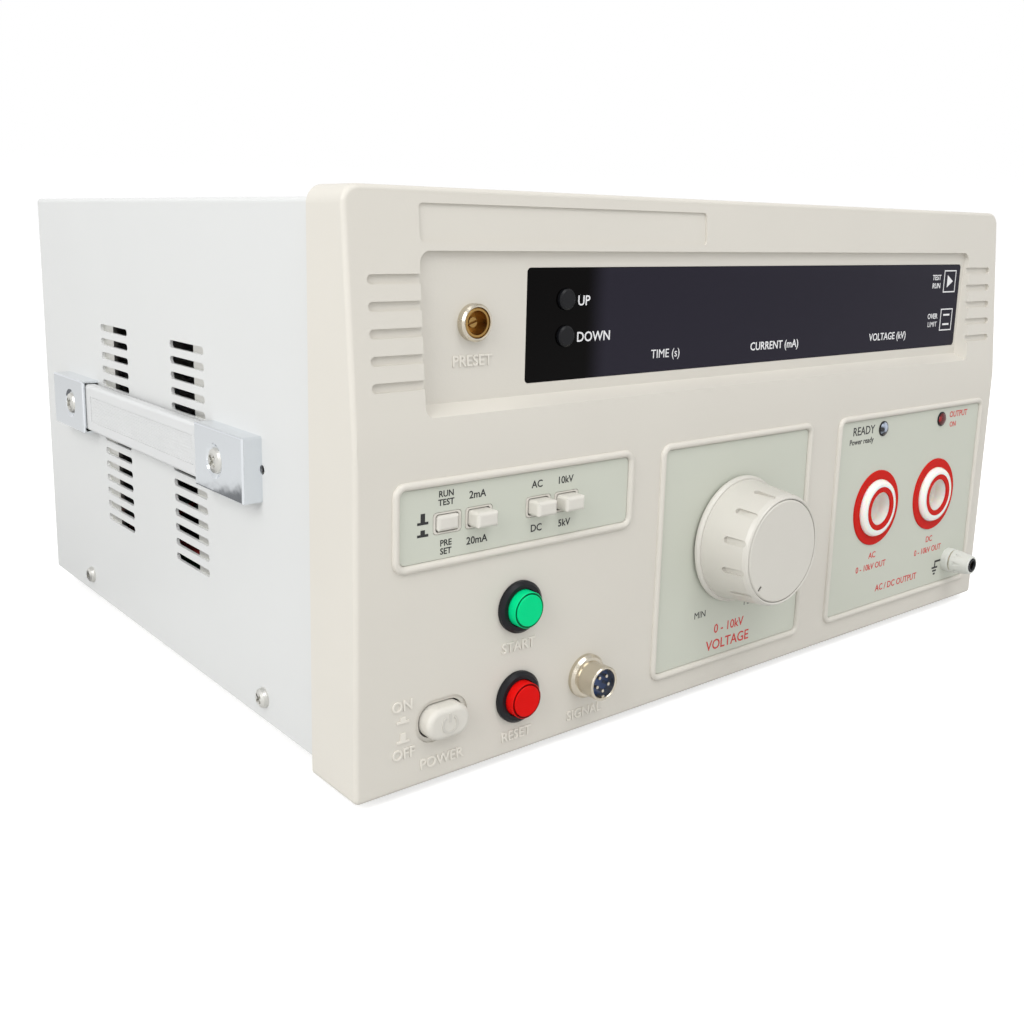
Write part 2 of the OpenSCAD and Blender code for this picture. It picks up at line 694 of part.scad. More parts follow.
module handle_screws() place() color(c_steel) both_sides() for (y = handle_screw_y) {
    translate([-cab_half - cap_t + 0.9, y, handle_z]) side_screw(4.5, 1.6, 2.4, 13);
    translate([-in_half, y, handle_z]) rotate([0, 0, -90]) hex_nut(4.2, 2.45, 0.02, 3.4);
}

// display: window, board and digit blocks
module display_window() place() color(c_dark) difference() {
    at(win_x, win_z) along_y(rec_floor, rec_floor + win_t) rr(win_w, win_h, 1.5);
    for (z = [up_z, down_z]) at(up_x, z) rod(tip_r + fit, rec_floor - eps, rec_floor + win_t + eps);
}

module display_board() place() color(c_board) difference() {
    at(win_x, win_z) along_y(board_y, board_y + pcb_t) square([win_w + 2, win_h + 14], center = true);
    for (p = board_posts) at(p[0], p[1]) rod(1.5, board_y - eps, board_y + pcb_t + eps);
}

// three digit blocks fill the window between the timer buttons and the right margin
digit_left = win_x - win_w/2 + 44.3;
digit_gap = [0, 10.5, 24.5];
digit_part = [0, 36, 98];
digit_unit = (win_w - 70.8 - digit_gap[2])/160;
digit_w = [36, 62, 62];
module digit_modules() place() color(c_dark) for (i = [0:2])
    at(digit_left + digit_gap[i] + digit_unit*(digit_part[i] + digit_w[i]/2), win_z + 3)
        along_y(board_y - 6, board_y) rr(digit_unit*digit_w[i], 19, 0.6);

module timer_key(z) place() color(c_dark) at(up_x, z) {
    tip_y = rec_floor - 1.4;
    collar_y = rec_floor + win_t + 0.3;
    stem_y = board_y - 4.6;
    turned([[0, tip_y], [tip_r - 0.6, tip_y], [tip_r, tip_y + 0.5], [tip_r, collar_y], [tip_r + 1, collar_y],
        [tip_r + 1, collar_y + 1], [1.5, collar_y + 1], [1.5, stem_y], [0, stem_y]]);
}
module timer_up_button() timer_key(up_z);
module timer_down_button() timer_key(down_z);

module tact_switches() place() color("#2a2a2c") for (z = [up_z, down_z]) at(up_x, z) {
    along_y(board_y - 2.4, board_y) square([6, 6], center = true);
    rod(1.6, board_y - 3.6, board_y - 2.4);
}

// preset potentiometer: brass bushing, plated ring nut, slotted shaft
pre_front = rec_floor - 2.9;
pre_shaft_r = 1.55;
pre_nut_r = 5.75;
pot_y = back_y + 3;
module preset_bushing() place() color(c_brass) at(pre_x, pre_z)
    turned([[pre_barrel - 1, pre_front + 0.4], [pre_barrel - 0.4, pre_front + 0.4],
        [pre_barrel, pre_front + 0.8], [pre_barrel, pot_y], [pre_shaft_r + run, pot_y],
        [pre_shaft_r + run, back_y], [pre_barrel - 1, back_y]]);

module preset_nut() place() color(c_steel) at(pre_x, pre_z)
    turned([[pre_barrel + 0.05, pre_front + 0.2], [pre_nut_r - 0.55, pre_front], [pre_nut_r, pre_front + 0.7],
        [pre_nut_r, rec_floor], [pre_barrel + 0.05, rec_floor]]);

module preset_shaft() place() color(c_brass) at(pre_x, pre_z) difference() {
    rod(pre_shaft_r, rec_floor - 0.2, pot_y + 5);
    along_y(rec_floor - eps, rec_floor + 1) rotate([0, 0, 18]) square([4, 0.7], center = true);
}

module preset_pot_body() place() color("#3a5f8f") at(pre_x, pre_z) difference() {
    union() {
        rod(8, pot_y, pot_y + 8);
        along_y(pot_y + 1, pot_y + 3) translate([0, -9]) square([12, 8], center = true);
    }
    rod(pre_shaft_r + run, pot_y - eps, pot_y + 6);
}

// latching selector keys and their switch bank
key_root = 4.5;
bank_y = key_root + key_travel + 1.5;
stem_end = bank_y + 5;
module selector_key(i, out) place() color(c_white) at(key_x0 + key_slots[i]*key_pitch, key_z)
    translate([0, key_out - out, 0]) {
        translate([0, -key_out, 0]) soft_block(key_w, key_h, key_out + key_root, 1.2, 1.1);
        along_y(key_root, stem_end) square([3.2, 3.2], center = true);
    }
module test_button() selector_key(0, key_out - key_travel);
module current_button() selector_key(1, key_out);
module mode_button() selector_key(2, key_out);
module voltage_button() selector_key(3, key_out);

module switch_bank() place() color("#4a4d50") difference() {
    union() {
        at((bank_posts[0] + bank_posts[1])/2, key_z) along_y(bank_y, bank_y + 1.2)
            square([bank_posts[1] - bank_posts[0] + 9, 14], center = true);
        each_key() along_y(bank_y, stem_end + key_travel + 13) square([8.4, 11], center = true);
    }
    each_key() along_y(bank_y - eps, stem_end + key_travel + 5) square([4.2, 4.2], center = true);
    for (x = bank_posts) at(x, key_z) rod(1.5, bank_y - eps, bank_y + 2);
}

// mains switch with a stadium key
pow_root = 5;
pow_sw_y = pow_root + pow_travel + 3;
pow_stem = pow_sw_y + 6;
pow_back = pow_stem + pow_travel + 16;
module power_button() place() color(c_white) at(pow_x, pow_z) {
    translate([0, -pow_out, 0]) pill(pow_w, pow_h, pow_out + pow_root, 1.8);
    along_y(pow_root, pow_stem) square([5, 5], center = true);
}

module power_switch() place() color("#26272a") difference() {
    union() {
        at(pow_x, pow_z) along_y(pow_sw_y, pow_sw_y + 1.6) square([36, 11], center = true);
        at(pow_x, pow_z) along_y(pow_sw_y, pow_back) square([20, 15], center = true);
    }
    at(pow_x, pow_z) along_y(pow_sw_y - eps, pow_stem + pow_travel + 2) square([6, 6], center = true);
}

// round start and reset buttons
pb_root = 4;
pb_stem = 12;
pb_face_r = pb_cap_r - 0.9;
pb_lip_r = pb_cap_r - 0.3;
pb_groove = 0.8;
pb_end = pb_stem + pb_travel + 6;
pb_floor = pb_root + pb_travel + 2;
module push_cap(z, col) place() color(col) at(push_x, z)
    turned([[0, -pb_out], [pb_face_r - 0.2, -pb_out], [pb_face_r, -pb_out + 0.2],
        [pb_face_r, -pb_out + pb_groove], [pb_lip_r, -pb_out + pb_groove], [pb_lip_r, -pb_out + 0.4],
        [pb_cap_r - 0.1, -pb_out + 0.6], [pb_cap_r, 0], [pb_cap_r, pb_root], [1.9, pb_root],
        [1.9, pb_stem], [0, pb_stem]]);
module start_button() push_cap(start_z, "#12c584");
module reset_button() push_cap(reset_z, "#d81a1a");

module button_housings() place() color("#2a2d33") each_push() {
    turned([[pb_cap_r + 0.3, -2.2], [pb_flange_r - 1, -2.2], [pb_flange_r, -1.3], [pb_flange_r, 0],
        [pb_barrel_r, 0], [pb_barrel_r, pb_end], [0, pb_end], [0, pb_end - 4], [2.2, pb_end - 4],
        [2.2, pb_floor], [pb_cap_r + 0.3, pb_floor]]);
    hex_nut(10, pb_barrel_r + 0.05, face_t + 0.02, face_t + 4);
}

// round control connector
ctl_out = 9.8;
ctl_bore = 5;
module control_shell() place() color("#b8ad98") at(ctl_x, ctl_z) {
    turned([[ctl_bore, -ctl_out + 0.3], [ctl_bore + 0.3, -ctl_out], [ctl_r - 0.3, -ctl_out],
        [ctl_r, -ctl_out + 0.4], [ctl_r, -2.6], [ctl_r + 0.9, -2.4], [ctl_r + 1.7, -1.4], [ctl_r + 1.7, 0],
        [ctl_r, 0], [ctl_r, 11], [ctl_bore, 11]]);
    hex_nut(ctl_r + 1.6, ctl_r + 0.05, face_t + 0.02, face_t + 3);
    along_y(-ctl_out + 0.6, -7) translate([0, -ctl_bore + 0.2]) square([1.2, 1], center = true);
}

pin_ring = 2.7;
module control_insert() place() color("#123a6e") at(ctl_x, ctl_z) rod(ctl_bore - 0.02, -6.2, 10);
module control_pins() place() color(c_brass) for (k = [0:4]) at(ctl_x, ctl_z)
    rotate([0, 72*k + 36, 0]) translate([0, 0, pin_ring]) {
        rod(0.55, -9, -6.2);
        rod(0.6, 10, 14);
    }

// regulator knob, hollow behind, with grip slots round the tapered side
knob_gap = 0.7;
skirt_t = 2.4;
hub_r = 7;
zero_turn = 45;
disc_dep = 2.4;
grip_len = 9;
grip_w = 2.4;
grip_dep = 0.9;
grip_mid = -knob_out + 5.9;
body_len = knob_out - knob_gap - skirt_t - 2;
function knob_side(y) = knob_r1 + (knob_r2 - knob_r1)*(-knob_gap - skirt_t - y)/body_len;
module regulator_knob() place() color(c_white) at(reg_x, reg_z) difference() {
    front = -knob_out;
    back = -knob_gap;
    turned([[shaft_r + 0.05, back], [hub_r, back], [hub_r, front + 6], [disc_r - 1, front + 6],
        [skirt_r - 3.2, back], [skirt_r - 0.6, back], [skirt_r, back - 0.6], [skirt_r, back - skirt_t + 1],
        [skirt_r - 0.7, back - skirt_t], [knob_r1, back - skirt_t],
        [knob_r2, front + 2], [knob_r2 - 0.6, front + 0.6], [disc_r + 0.7, front + 0.05],
        [disc_r + 0.25, front + 0.3], [disc_r + 0.25, front + disc_dep], [shaft_r + 0.05, front + disc_dep]]);
    for (k = [0:grip_n - 1]) rotate([0, 360/grip_n*(k + 0.5), 0])
        translate([0, grip_mid, knob_side(grip_mid) - grip_dep]) linear_extrude(5)
            rotate(90) slot(grip_len, grip_w);
}

module knob_disc() place() color(c_white) at(reg_x, reg_z) difference() {
    disc_back = -knob_out + disc_dep - 0.05;
    turned([[0, -knob_out], [disc_r - 0.5, -knob_out], [disc_r, -knob_out + 0.4], [disc_r, disc_back],
        [0, disc_back]]);
    rotate([0, zero_turn, 0]) along_y(-knob_out - eps, -knob_out + 0.8) translate([0, -disc_r + 2])
        square([1.1, 2.2], center = true);
}

arm_y = wind_end + 1.4;
module regulator_shaft() place() color(c_steel) at(reg_x, reg_z)
    rod(shaft_r, -knob_out + disc_dep + 0.1, arm_y + 5);

// brush arm turning behind the winding, brush face just clear of the wire
arm_t = 4;
brush_r = 34;
module brush_arm() place() color(c_brass) at(reg_x, reg_z) difference() {
    union() {
        rod(9, arm_y, arm_y + arm_t);
        rotate([0, zero_turn, 0]) {
            block(-6, 6, arm_y, arm_y + arm_t, -brush_r - 6, 0);
            block(-4, 4, wind_end + 0.3, arm_y + eps/2, -brush_r - 4, -brush_r + 4);
        }
    }
    rod(shaft_r + 0.02, arm_y - eps, arm_y + arm_t + eps);
}

module variac_winding() place() color(c_copper) at(reg_x, reg_z) rotate([-90, 0, 0]) rotate_extrude()
    translate([(wind_in + variac_r)/2, (wind_y + wind_end)/2]) rr(variac_r - wind_in, variac_len, 5);

// cast bracket: upright plate, foot on the tray and long shaft bearing
module variac_bracket() place() color(c_steel) difference() {
    union() {
        translate([reg_x - plate_w/2, plate_y, tray_top]) cube([plate_w, plate_t, reg_z + 30 - tray_top]);
        translate([reg_x - plate_w/2, plate_y - 12, tray_top]) cube([plate_w, 12, plate_t]);
        at(reg_x, reg_z) rod(wind_in - 0.1, plate_y, wind_end);
    }
    at(reg_x, reg_z) rod(shaft_r + run, plate_y - eps, wind_end + eps);
    for (s = [-1, 1]) translate([reg_x + s*(plate_w/2 - 10), plate_y - 6, tray_top - eps])
        cylinder(h = plate_t + 2*eps, r = 2.2);
}

// high-voltage sockets: white insulating body with a funnel, red flange disc and mouth ring, brass contact
ring_r = 9.5;
ring_t = 0.7;
hv_pin_r = 2;
hv_throat = 3.2;
hv_end = hv_depth + hv_cone;
hv_back = hv_end + 5;
module hv_socket_bodies() place() color(c_white) each_hv() {
    seat = ring_r + 0.05;
    turned([[hv_bore_r, -hv_out + ring_t], [seat, -hv_out + ring_t], [seat, -hv_out],
        [hv_boss_r - 1.8, -hv_out], [hv_boss_r - 0.6, -hv_out + 0.5], [hv_boss_r, -hv_out + 1.5],
        [hv_boss_r, -0.02], [hv_barrel_r, -0.02], [hv_barrel_r, hv_back], [hv_pin_r + 0.05, hv_back],
        [hv_pin_r + 0.05, hv_end], [hv_throat, hv_end], [hv_bore_r, hv_depth]]);
    hex_nut(hv_barrel_r + 2.5, hv_barrel_r + 0.05, face_t + 0.02, face_t + 5);
}

module hv_socket_rings() place() color(c_red) each_hv() {
    hole = hv_boss_r + 0.05;
    flange_t = 0.5;
    turned([[hole, -flange_t], [hv_flange_r - 0.2, -flange_t], [hv_flange_r, -flange_t + 0.2],
        [hv_flange_r, 0], [hole, 0]]);
    turned([[hv_bore_r, -hv_out], [ring_r, -hv_out], [ring_r, -hv_out + ring_t],
        [hv_bore_r, -hv_out + ring_t]]);
}

module hv_contacts() place() color(c_brass) each_hv() rod(hv_pin_r, hv_end - 1.5, hv_back + 8);

// indicator lamps: shallow domes in thin black rims
lamp_rise = 1.1;
module lamp_holders() place() color(c_dark) each_lamp()
    turned([[lamp_r + 0.05, -0.5], [lamp_rim - 0.2, -0.5], [lamp_rim, -0.3], [lamp_rim, 0], [lamp_barrel, 0],
        [lamp_barrel, 7], [lamp_r + 0.05, 7]]);
module lamp(x, col) place() color(col) at(x, lamp_z) turned(concat(
    [for (i = [0:5]) [lamp_r*sin(15*i), -0.4 - lamp_rise*cos(15*i)]], [[lamp_r, -0.4], [lamp_r, 8], [0, 8]]));
module safety_lamp() lamp(lamp_x[0], "#6b6f78");
module hv_lamp() lamp(lamp_x[1], "#8f1015");

// ground terminal: insulating base, hollow stud, captive washer and fluted screw cap
base_t = 3.2;
washer_t = 0.6;
cap_back = -base_t - washer_t - 0.2;
post_r = 5.5;
module ground_base() place() color(c_white) at(post_x, post_z)
    turned([[stud_r + 0.02, -base_t], [post_r - 0.6, -base_t], [post_r, -base_t + 0.6], [post_r, 0],
        [post_barrel, 0], [post_barrel, face_t], [stud_r + 0.02, face_t]]);

module ground_stud() place() color(c_brass) at(post_x, post_z) {
    turned([[plug_r, -post_out + 1.7], [stud_r, -post_out + 1.7], [stud_r, 20], [0, 20], [0, 3],
        [plug_r, 3]]);
    hex_nut(4.6, stud_r + 0.03, face_t + 0.02, face_t + 3.4);
}

module ground_washer() place() color(c_steel) at(post_x, post_z)
    translate([0, cap_back + 0.1, 0])
        turned([[stud_r + run, 0], [post_r - 0.5, 0], [post_r - 0.5, washer_t], [stud_r + run, washer_t]]);

flute_n = 8;
module ground_cap() place() color(c_white) at(post_x, post_z) difference() {
    turned([[stud_r + run, cap_back], [post_r - 0.2, cap_back], [post_r, cap_back - 0.4],
        [post_r - 0.2, cap_back - 2], [post_r - 1.2, -post_out + 0.4], [post_r - 1.6, -post_out],
        [stud_r + 0.35, -post_out], [stud_r + 0.35, -post_out + 1.4], [stud_r + run, -post_out + 1.7]]);
    for (k = [0:flute_n - 1]) rotate([0, 360/flute_n*k, 0]) translate([0, 0, post_r + 0.5])
        rod(1.25, -post_out + 1.2, cap_back - 2);
}

// rear mains inlet with a fuse drawer
module inlet_body() place() color("#202124") at(inlet_x, inlet_z) difference() {
    union() {
        along_y(cab_rear, cab_rear + inlet_t) rr(inlet_w, inlet_h, 3);
        along_y(cab_rear - inlet_body_d, cab_rear) square([inlet_body_w, inlet_body_h], center = true);
    }
    at(0, plug_dz) along_y(rear_out - drawer_lip - plug_dep, rear_out + eps) rr(plug_w, plug_h, 2);
    at(0, drawer_dz) along_y(cab_rear - drawer_len - 0.4, rear_out + eps)
        square([drawer_w + 0.6, drawer_h + 0.6], center = true);
    for (s = [-1, 1]) at(s*inlet_screw, 0) rod(1.7, cab_rear - eps, cab_rear + inlet_t + eps);
}

module inlet_pins() place() color(c_brass) at(inlet_x, inlet_z + plug_dz) {
    pin_back = rear_out - drawer_lip - plug_dep;
    for (p = [[-7, -2], [0, 2], [7, -2]]) at(p[0], p[1])
        along_y(pin_back, pin_back + 14) square([2, 4], center = true);
}

module fuse_drawer() place() color("#2c2d31") at(inlet_x, inlet_z + drawer_dz) difference() {
    union() {
        along_y(cab_rear - drawer_len, cab_rear + inlet_t) square([drawer_w, drawer_h], center = true);
        along_y(cab_rear + inlet_t, rear_out) rr(drawer_w - 2, drawer_h - 1, 1);
    }
    translate([0, cab_rear - drawer_len/2, 2.2]) rotate([90, 0, 0]) cylinder(h = 20, r = 2.7, center = true);
}

// high-voltage transformer: stacked core with a wound bobbin
core_x = 88;
core_y = 185;
core_w = 96;
core_h = 80;
core_d = 50;
leg = 16;
core_z = tray_top + core_h/2;
module transformer_core() place() color("#5d5f63") translate([core_x, core_y, core_z]) difference() {
    along_y(-core_d/2, core_d/2) difference() {
        square([core_w, core_h], center = true);
        for (s = [-1, 1]) translate([s*(core_w/4 - leg/4 + 2), 0])
            square([core_w/2 - 1.5*leg - 4, core_h - 2*leg], center = true);
    }
}
module transformer_coil() place() color("#c9b27a") translate([core_x, core_y, core_z]) difference() {
    translate([0, 0, -core_h/2 + leg + 0.3]) linear_extrude(core_h - 2*leg - 0.6)
        rr(core_w - 2*leg - 4, core_d + 34, 8);
    cube([leg + 12.6, core_d + 0.4, core_h], center = true);
}

// control board on four posts, with relays and capacitors
pcb_x = -92;
pcb_y = 196;
pcb_rise = 10;
pcb_w = 110;
pcb_d = 100;
pcb_z = tray_top + pcb_rise;
module control_board() place() color(c_board) {
    translate([pcb_x, pcb_y, pcb_z]) linear_extrude(pcb_t) square([pcb_w, pcb_d], center = true);
    for (sx = [-1, 1], sy = [-1, 1]) translate([pcb_x + sx*(pcb_w/2 - 6), pcb_y + sy*(pcb_d/2 - 6), tray_top])
        cylinder(h = pcb_rise, r = 3);
}
module board_parts() place() color("#2b4a86") {
    for (i = [0:3]) translate([pcb_x - 40 + i*22, pcb_y - 22, pcb_z + pcb_t])
        linear_extrude(15) rr(15, 20, 0.8);
    for (i = [0:2]) translate([pcb_x - 30 + i*26, pcb_y + 8, pcb_z + pcb_t])
        cylinder(h = 26, r = 9);
}

// mains lead from the inlet along the left wall to the power switch
lead_r = 1.5;
lead_pts = [[inlet_x - 8, cab_rear - inlet_body_d - 0.2, inlet_z], [inlet_x - 12, 234, 46], [-142, 220, 33],
    [-161, 206, 34], [-163, 200, 43], [-163, 170, 46], [-163, 138, 43.5], [-160, 100, 44], [-157, 76, 42],
    [pow_x, 56, 30], [pow_x, pow_back + 0.2, pow_z]];
lead_n = 4;
function spline(p, i, t) = let (a = p[max(i - 1, 0)], b = p[i], c = p[i + 1], d = p[min(i + 2, len(p) - 1)])
    0.5*(2*b + (c - a)*t + (2*a - 5*b + 4*c - d)*t*t + (3*b - a - 3*c + d)*t*t*t);
function unit(v) = v/norm(v);
lead_last = len(lead_pts) - 1;
lead_path = concat([for (i = [0:lead_last - 1], k = [0:lead_n - 1]) spline(lead_pts, i, k/lead_n)],
    [lead_pts[lead_last]]);
module tube(path, r, sides) {
    n = len(path);
    rings = [for (i = [0:n - 1]) let (
        t = i == 0 || i == n - 1 ? [0, -1, 0] : unit(path[min(i + 1, n - 1)] - path[max(i - 1, 0)]),
        u = unit(cross(t, [0.2, 0.1, 1])), v = cross(t, u))
        for (k = [0:sides - 1]) path[i] + r*(cos(360*k/sides)*u + sin(360*k/sides)*v)];
    polyhedron(rings, concat([[for (k = [0:sides - 1]) k]],
        [for (i = [0:n - 2], k = [0:sides - 1]) let (m = (k + 1)%sides)
            [i*sides + k, (i + 1)*sides + k, (i + 1)*sides + m, i*sides + m]],
        [[for (k = [0:sides - 1]) n*sides - 1 - k]]));
}
module mains_lead() place() color(c_red) tube(lead_path, lead_r, 8);

front_bezel();
panel_overlays();
cabinet_cover();
chassis_tray();
rear_panel();
rubber_feet();
case_screws();
side_stiffeners();
handle_straps();
handle_caps();
handle_screws();
display_window();
display_board();
digit_modules();
timer_up_button();
timer_down_button();
tact_switches();
preset_bushing();
preset_nut();
preset_shaft();
preset_pot_body();
test_button();
current_button();
mode_button();
voltage_button();
switch_bank();
power_button();
power_switch();
start_button();
reset_button();
button_housings();
control_shell();
control_insert();
control_pins();
regulator_knob();
knob_disc();
regulator_shaft();
brush_arm();
variac_winding();
variac_bracket();
hv_socket_bodies();
hv_socket_rings();
hv_contacts();
lamp_holders();
safety_lamp();
hv_lamp();
ground_base();
ground_stud();
ground_washer();
ground_cap();
inlet_body();
inlet_pins();
fuse_drawer();
transformer_core();
transformer_coil();
control_board();
board_parts();
mains_lead();
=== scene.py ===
"""Looks of a benchtop hipot tester: finishes, print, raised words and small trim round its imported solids.

Every piece is placed from the frame, in metres. Panel drawings use millimetres: x from the middle of the
panel, z from the bezel's lower edge, as on the printed artwork of such a panel.
"""

import math

import bmesh
import bpy
from bpy.props import FloatProperty, FloatVectorProperty, PointerProperty
from mathutils import Matrix, Vector


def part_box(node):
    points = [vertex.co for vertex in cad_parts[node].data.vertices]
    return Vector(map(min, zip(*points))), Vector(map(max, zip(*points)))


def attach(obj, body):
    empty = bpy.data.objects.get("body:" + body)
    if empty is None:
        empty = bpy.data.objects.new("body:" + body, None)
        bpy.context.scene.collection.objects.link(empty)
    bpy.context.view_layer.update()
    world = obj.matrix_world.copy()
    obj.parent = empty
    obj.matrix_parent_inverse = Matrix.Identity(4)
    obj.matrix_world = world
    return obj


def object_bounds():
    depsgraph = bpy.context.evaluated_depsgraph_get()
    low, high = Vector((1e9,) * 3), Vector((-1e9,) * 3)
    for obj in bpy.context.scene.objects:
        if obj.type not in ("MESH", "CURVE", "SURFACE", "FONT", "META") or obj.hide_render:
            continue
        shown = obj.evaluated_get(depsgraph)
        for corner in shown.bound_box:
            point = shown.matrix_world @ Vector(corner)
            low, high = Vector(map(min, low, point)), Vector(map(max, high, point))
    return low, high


bl_info = {
    "name": "Hipot tester looks",
    "version": (1, 0, 0),
    "blender": (4, 5, 0),
    "location": "View3D > Sidebar > Tester",
    "description": "Finishes and fine trim of a benchtop high-voltage tester",
    "category": "Object",
}

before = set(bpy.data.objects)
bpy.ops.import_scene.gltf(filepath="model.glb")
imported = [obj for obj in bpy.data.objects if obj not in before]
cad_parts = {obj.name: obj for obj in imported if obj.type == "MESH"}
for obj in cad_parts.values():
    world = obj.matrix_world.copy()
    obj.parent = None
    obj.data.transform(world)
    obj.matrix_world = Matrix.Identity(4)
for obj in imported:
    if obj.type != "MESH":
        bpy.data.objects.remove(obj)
cad_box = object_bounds()

MM = 0.001
FACE_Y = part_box("panel_overlays")[0].y  # front of the overlays
BASE_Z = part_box("front_bezel")[0].z  # the panel's zero height
RECESS_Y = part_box("display_window")[0].y  # front of the window
CAP_HEIGHT = 0.69  # height of a capital, as a share of the font's size
FONT_STEPS = 3  # points along one curve of a letter
ARC_STEPS = 20  # straight pieces in one drawn arc
TURN_STEPS = 48  # straight pieces round a turned piece
WELD = 0.001  # millimetres within which the points of a letter are joined
WAVE_PERIOD = math.pi / 10  # length of one band of a wave texture at scale 1
ZERO_TURN = math.radians(225)  # where the knob's mark stands at rest
LABEL_DROP = 13.2  # millimetres from the middle of a lower control down to its raised word
FINISHES = {}  # finishes made so far, by maker and arguments


def linear(code):
    """sRGB hex colour as linear RGBA."""
    parts = [int(code[i:i + 2], 16) / 255 for i in (1, 3, 5)]
    return [c / 12.92 if c <= 0.04045 else ((c + 0.055) / 1.055) ** 2.4 for c in parts] + [1.0]


def shade(colour, by):
    """The same colour, darker or lighter."""
    return [min(1.0, c * by) for c in colour[:3]] + [1.0]


def per_mm(size):
    """Texture scale whose pattern is that many millimetres across."""
    return 1.0 / (size * MM)


def bands_of(pitch):
    """Wave texture scale whose bands are that many millimetres apart."""
    return per_mm(pitch) * WAVE_PERIOD


def middle(node):
    """Middle of a node's box, in panel millimetres: x, z."""
    lo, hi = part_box(node)
    return (lo.x + hi.x) / 2 / MM, ((lo.z + hi.z) / 2 - BASE_Z) / MM


def colour_prop(name, code, words):
    """One colour that a user would change."""
    return FloatVectorProperty(name=name, description=words, subtype="COLOR", size=4, min=0, max=1,
                               default=linear(code))


def length_prop(name, size, words):
    """One length that a user would change, from millimetres."""
    return FloatProperty(name=name, description=words, unit="LENGTH", default=size * MM, min=0)


class TesterColours(bpy.types.PropertyGroup):
    """Colours of the tester's finishes."""

    bezel: colour_prop("Bezel", "#D0CCC3", "Warm grey moulded front")
    keys: colour_prop("Keys and knob", "#D0CDC5", "Off-white moulded keys, power key and knob")
    cabinet: colour_prop("Cabinet", "#D1D2D1", "Cool white powder coat of the sheet steel")
    overlay: colour_prop("Overlay", "#C3C6BA", "Grey-green printed film in the bead frames")
    strap: colour_prop("Strap", "#CDCECE", "Pale grey carrying strap")
    window: colour_prop("Window", "#282630", "Smoked window over the digits")
    # painted reflection: this darker colour at the left of the window stands in for a reflection
    window_painted_reflection: colour_prop("Window mask", "#060505", "Deeper tint at the left of the window")
    insulator: colour_prop("Insulator", "#F3EEE8", "White output sockets")
    post: colour_prop("Binding post", "#CED0CA", "Grey-white binding post")
    dark: colour_prop("Black plastic", "#17181C", "Button flanges, lamp holders and inlet")
    green: colour_prop("Start cap", "#05D186", "Green push cap")
    red: colour_prop("Reset cap", "#D61210", "Red push cap")
    disc: colour_prop("Socket discs", "#C41C14", "Discs and rings of the output sockets")
    black_ink: colour_prop("Black ink", "#1E1E1F", "Black print")
    red_ink: colour_prop("Red ink", "#C62A26", "Red print")
    white_ink: colour_prop("White ink", "#E4E4E6", "White print on the window")


class TesterSizes(bpy.types.PropertyGroup):
    """Sizes of print and raised words."""

    ink: length_prop("Ink film", 0.05, "Thickness of the print")
    raised: length_prop("Raised words", 0.35, "Height of moulded words off the face")
    word: length_prop("Small words", 2.3, "Capital height of the small print")
    label: length_prop("Labels", 3.3, "Capital height of the moulded words")
    stroke: length_prop("Strokes", 0.9, "Line width of symbols")


class TesterStage(bpy.types.PropertyGroup):
    """Camera and light."""

    eye: FloatVectorProperty(name="Camera place", description="Where the camera stands", subtype="XYZ",
                             unit="LENGTH", default=(-0.3356, -0.3915, 0.1738))
    yaw: FloatProperty(name="Yaw", description="Camera turn to the right of straight ahead", subtype="ANGLE",
                       default=math.radians(39.05))
    pitch: FloatProperty(name="Pitch", description="Camera tilt above level", subtype="ANGLE",
                         default=math.radians(-11.49))
    roll: FloatProperty(name="Roll", description="Camera roll", subtype="ANGLE", default=math.radians(1.33))
    lens: FloatProperty(name="Lens", description="Focal length on a 36 mm sensor", subtype="DISTANCE_CAMERA",
                        default=39.4)
    shift: FloatVectorProperty(name="Shift", description="Lens shift across and up", size=2,
                               default=(0.0119, -0.0582))
    sky: FloatProperty(name="Tent light", description="Strength of the white tent round the stage",
                       default=1.02)
    roof: FloatProperty(name="Tent roof", description="Strength of the tent overhead", default=0.6)
    key: FloatProperty(name="Key light", description="Soft light at the left", subtype="POWER", default=16)
    top: FloatProperty(name="Top light", description="Soft light above the front", subtype="POWER", default=11)
    floor: length_prop("Floor", 8000, "Radius of the pale floor")


def add(tree, kind, settings=(), links=()):
    """Adds one shader node; settings fill its sockets or properties, links feed its inputs."""
    made = tree.nodes.new(kind)
    for key, value in dict(settings).items():
        if isinstance(key, int) or key in made.inputs:
            made.inputs[key].default_value = value
        else:
            setattr(made, key, value)
    for key, source in dict(links).items():
        tree.links.new(source, made.inputs[key])
    return made


def new_finish(name, settings):
    """A material with one principled shader; returns it, its tree, the shader and the object coordinates."""
    material = bpy.data.materials.new(name)
    material.use_nodes = True
    tree = material.node_tree
    tree.nodes.clear()
    where = add(tree, "ShaderNodeTexCoord")
    shader = add(tree, "ShaderNodeBsdfPrincipled", settings)
    add(tree, "ShaderNodeOutputMaterial", links={"Surface": shader.outputs["BSDF"]})
    return material, tree, shader, where.outputs["Object"]


def mottled(tree, shader, where, colour, size, low, high):
    """Feeds the base colour with a soft drift between two shades."""
    drift = add(tree, "ShaderNodeTexNoise", {"Scale": per_mm(size), "Detail": 2.0}, {"Vector": where})
    blend = add(tree, "ShaderNodeMixRGB", {"Color1": shade(colour, low), "Color2": shade(colour, high)},
                {"Fac": drift.outputs["Fac"]})
    tree.links.new(blend.outputs["Color"], shader.inputs["Base Color"])


def grained(tree, shader, where, size, depth, strength=0.5):
    """Feeds the normal with a grain of that size and depth in millimetres."""
    grain = add(tree, "ShaderNodeTexNoise", {"Scale": per_mm(size), "Detail": 3.0}, {"Vector": where})
    bump = add(tree, "ShaderNodeBump", {"Strength": strength, "Distance": depth * MM},
               {"Height": grain.outputs["Fac"]})
    tree.links.new(bump.outputs["Normal"], shader.inputs["Normal"])
    return grain


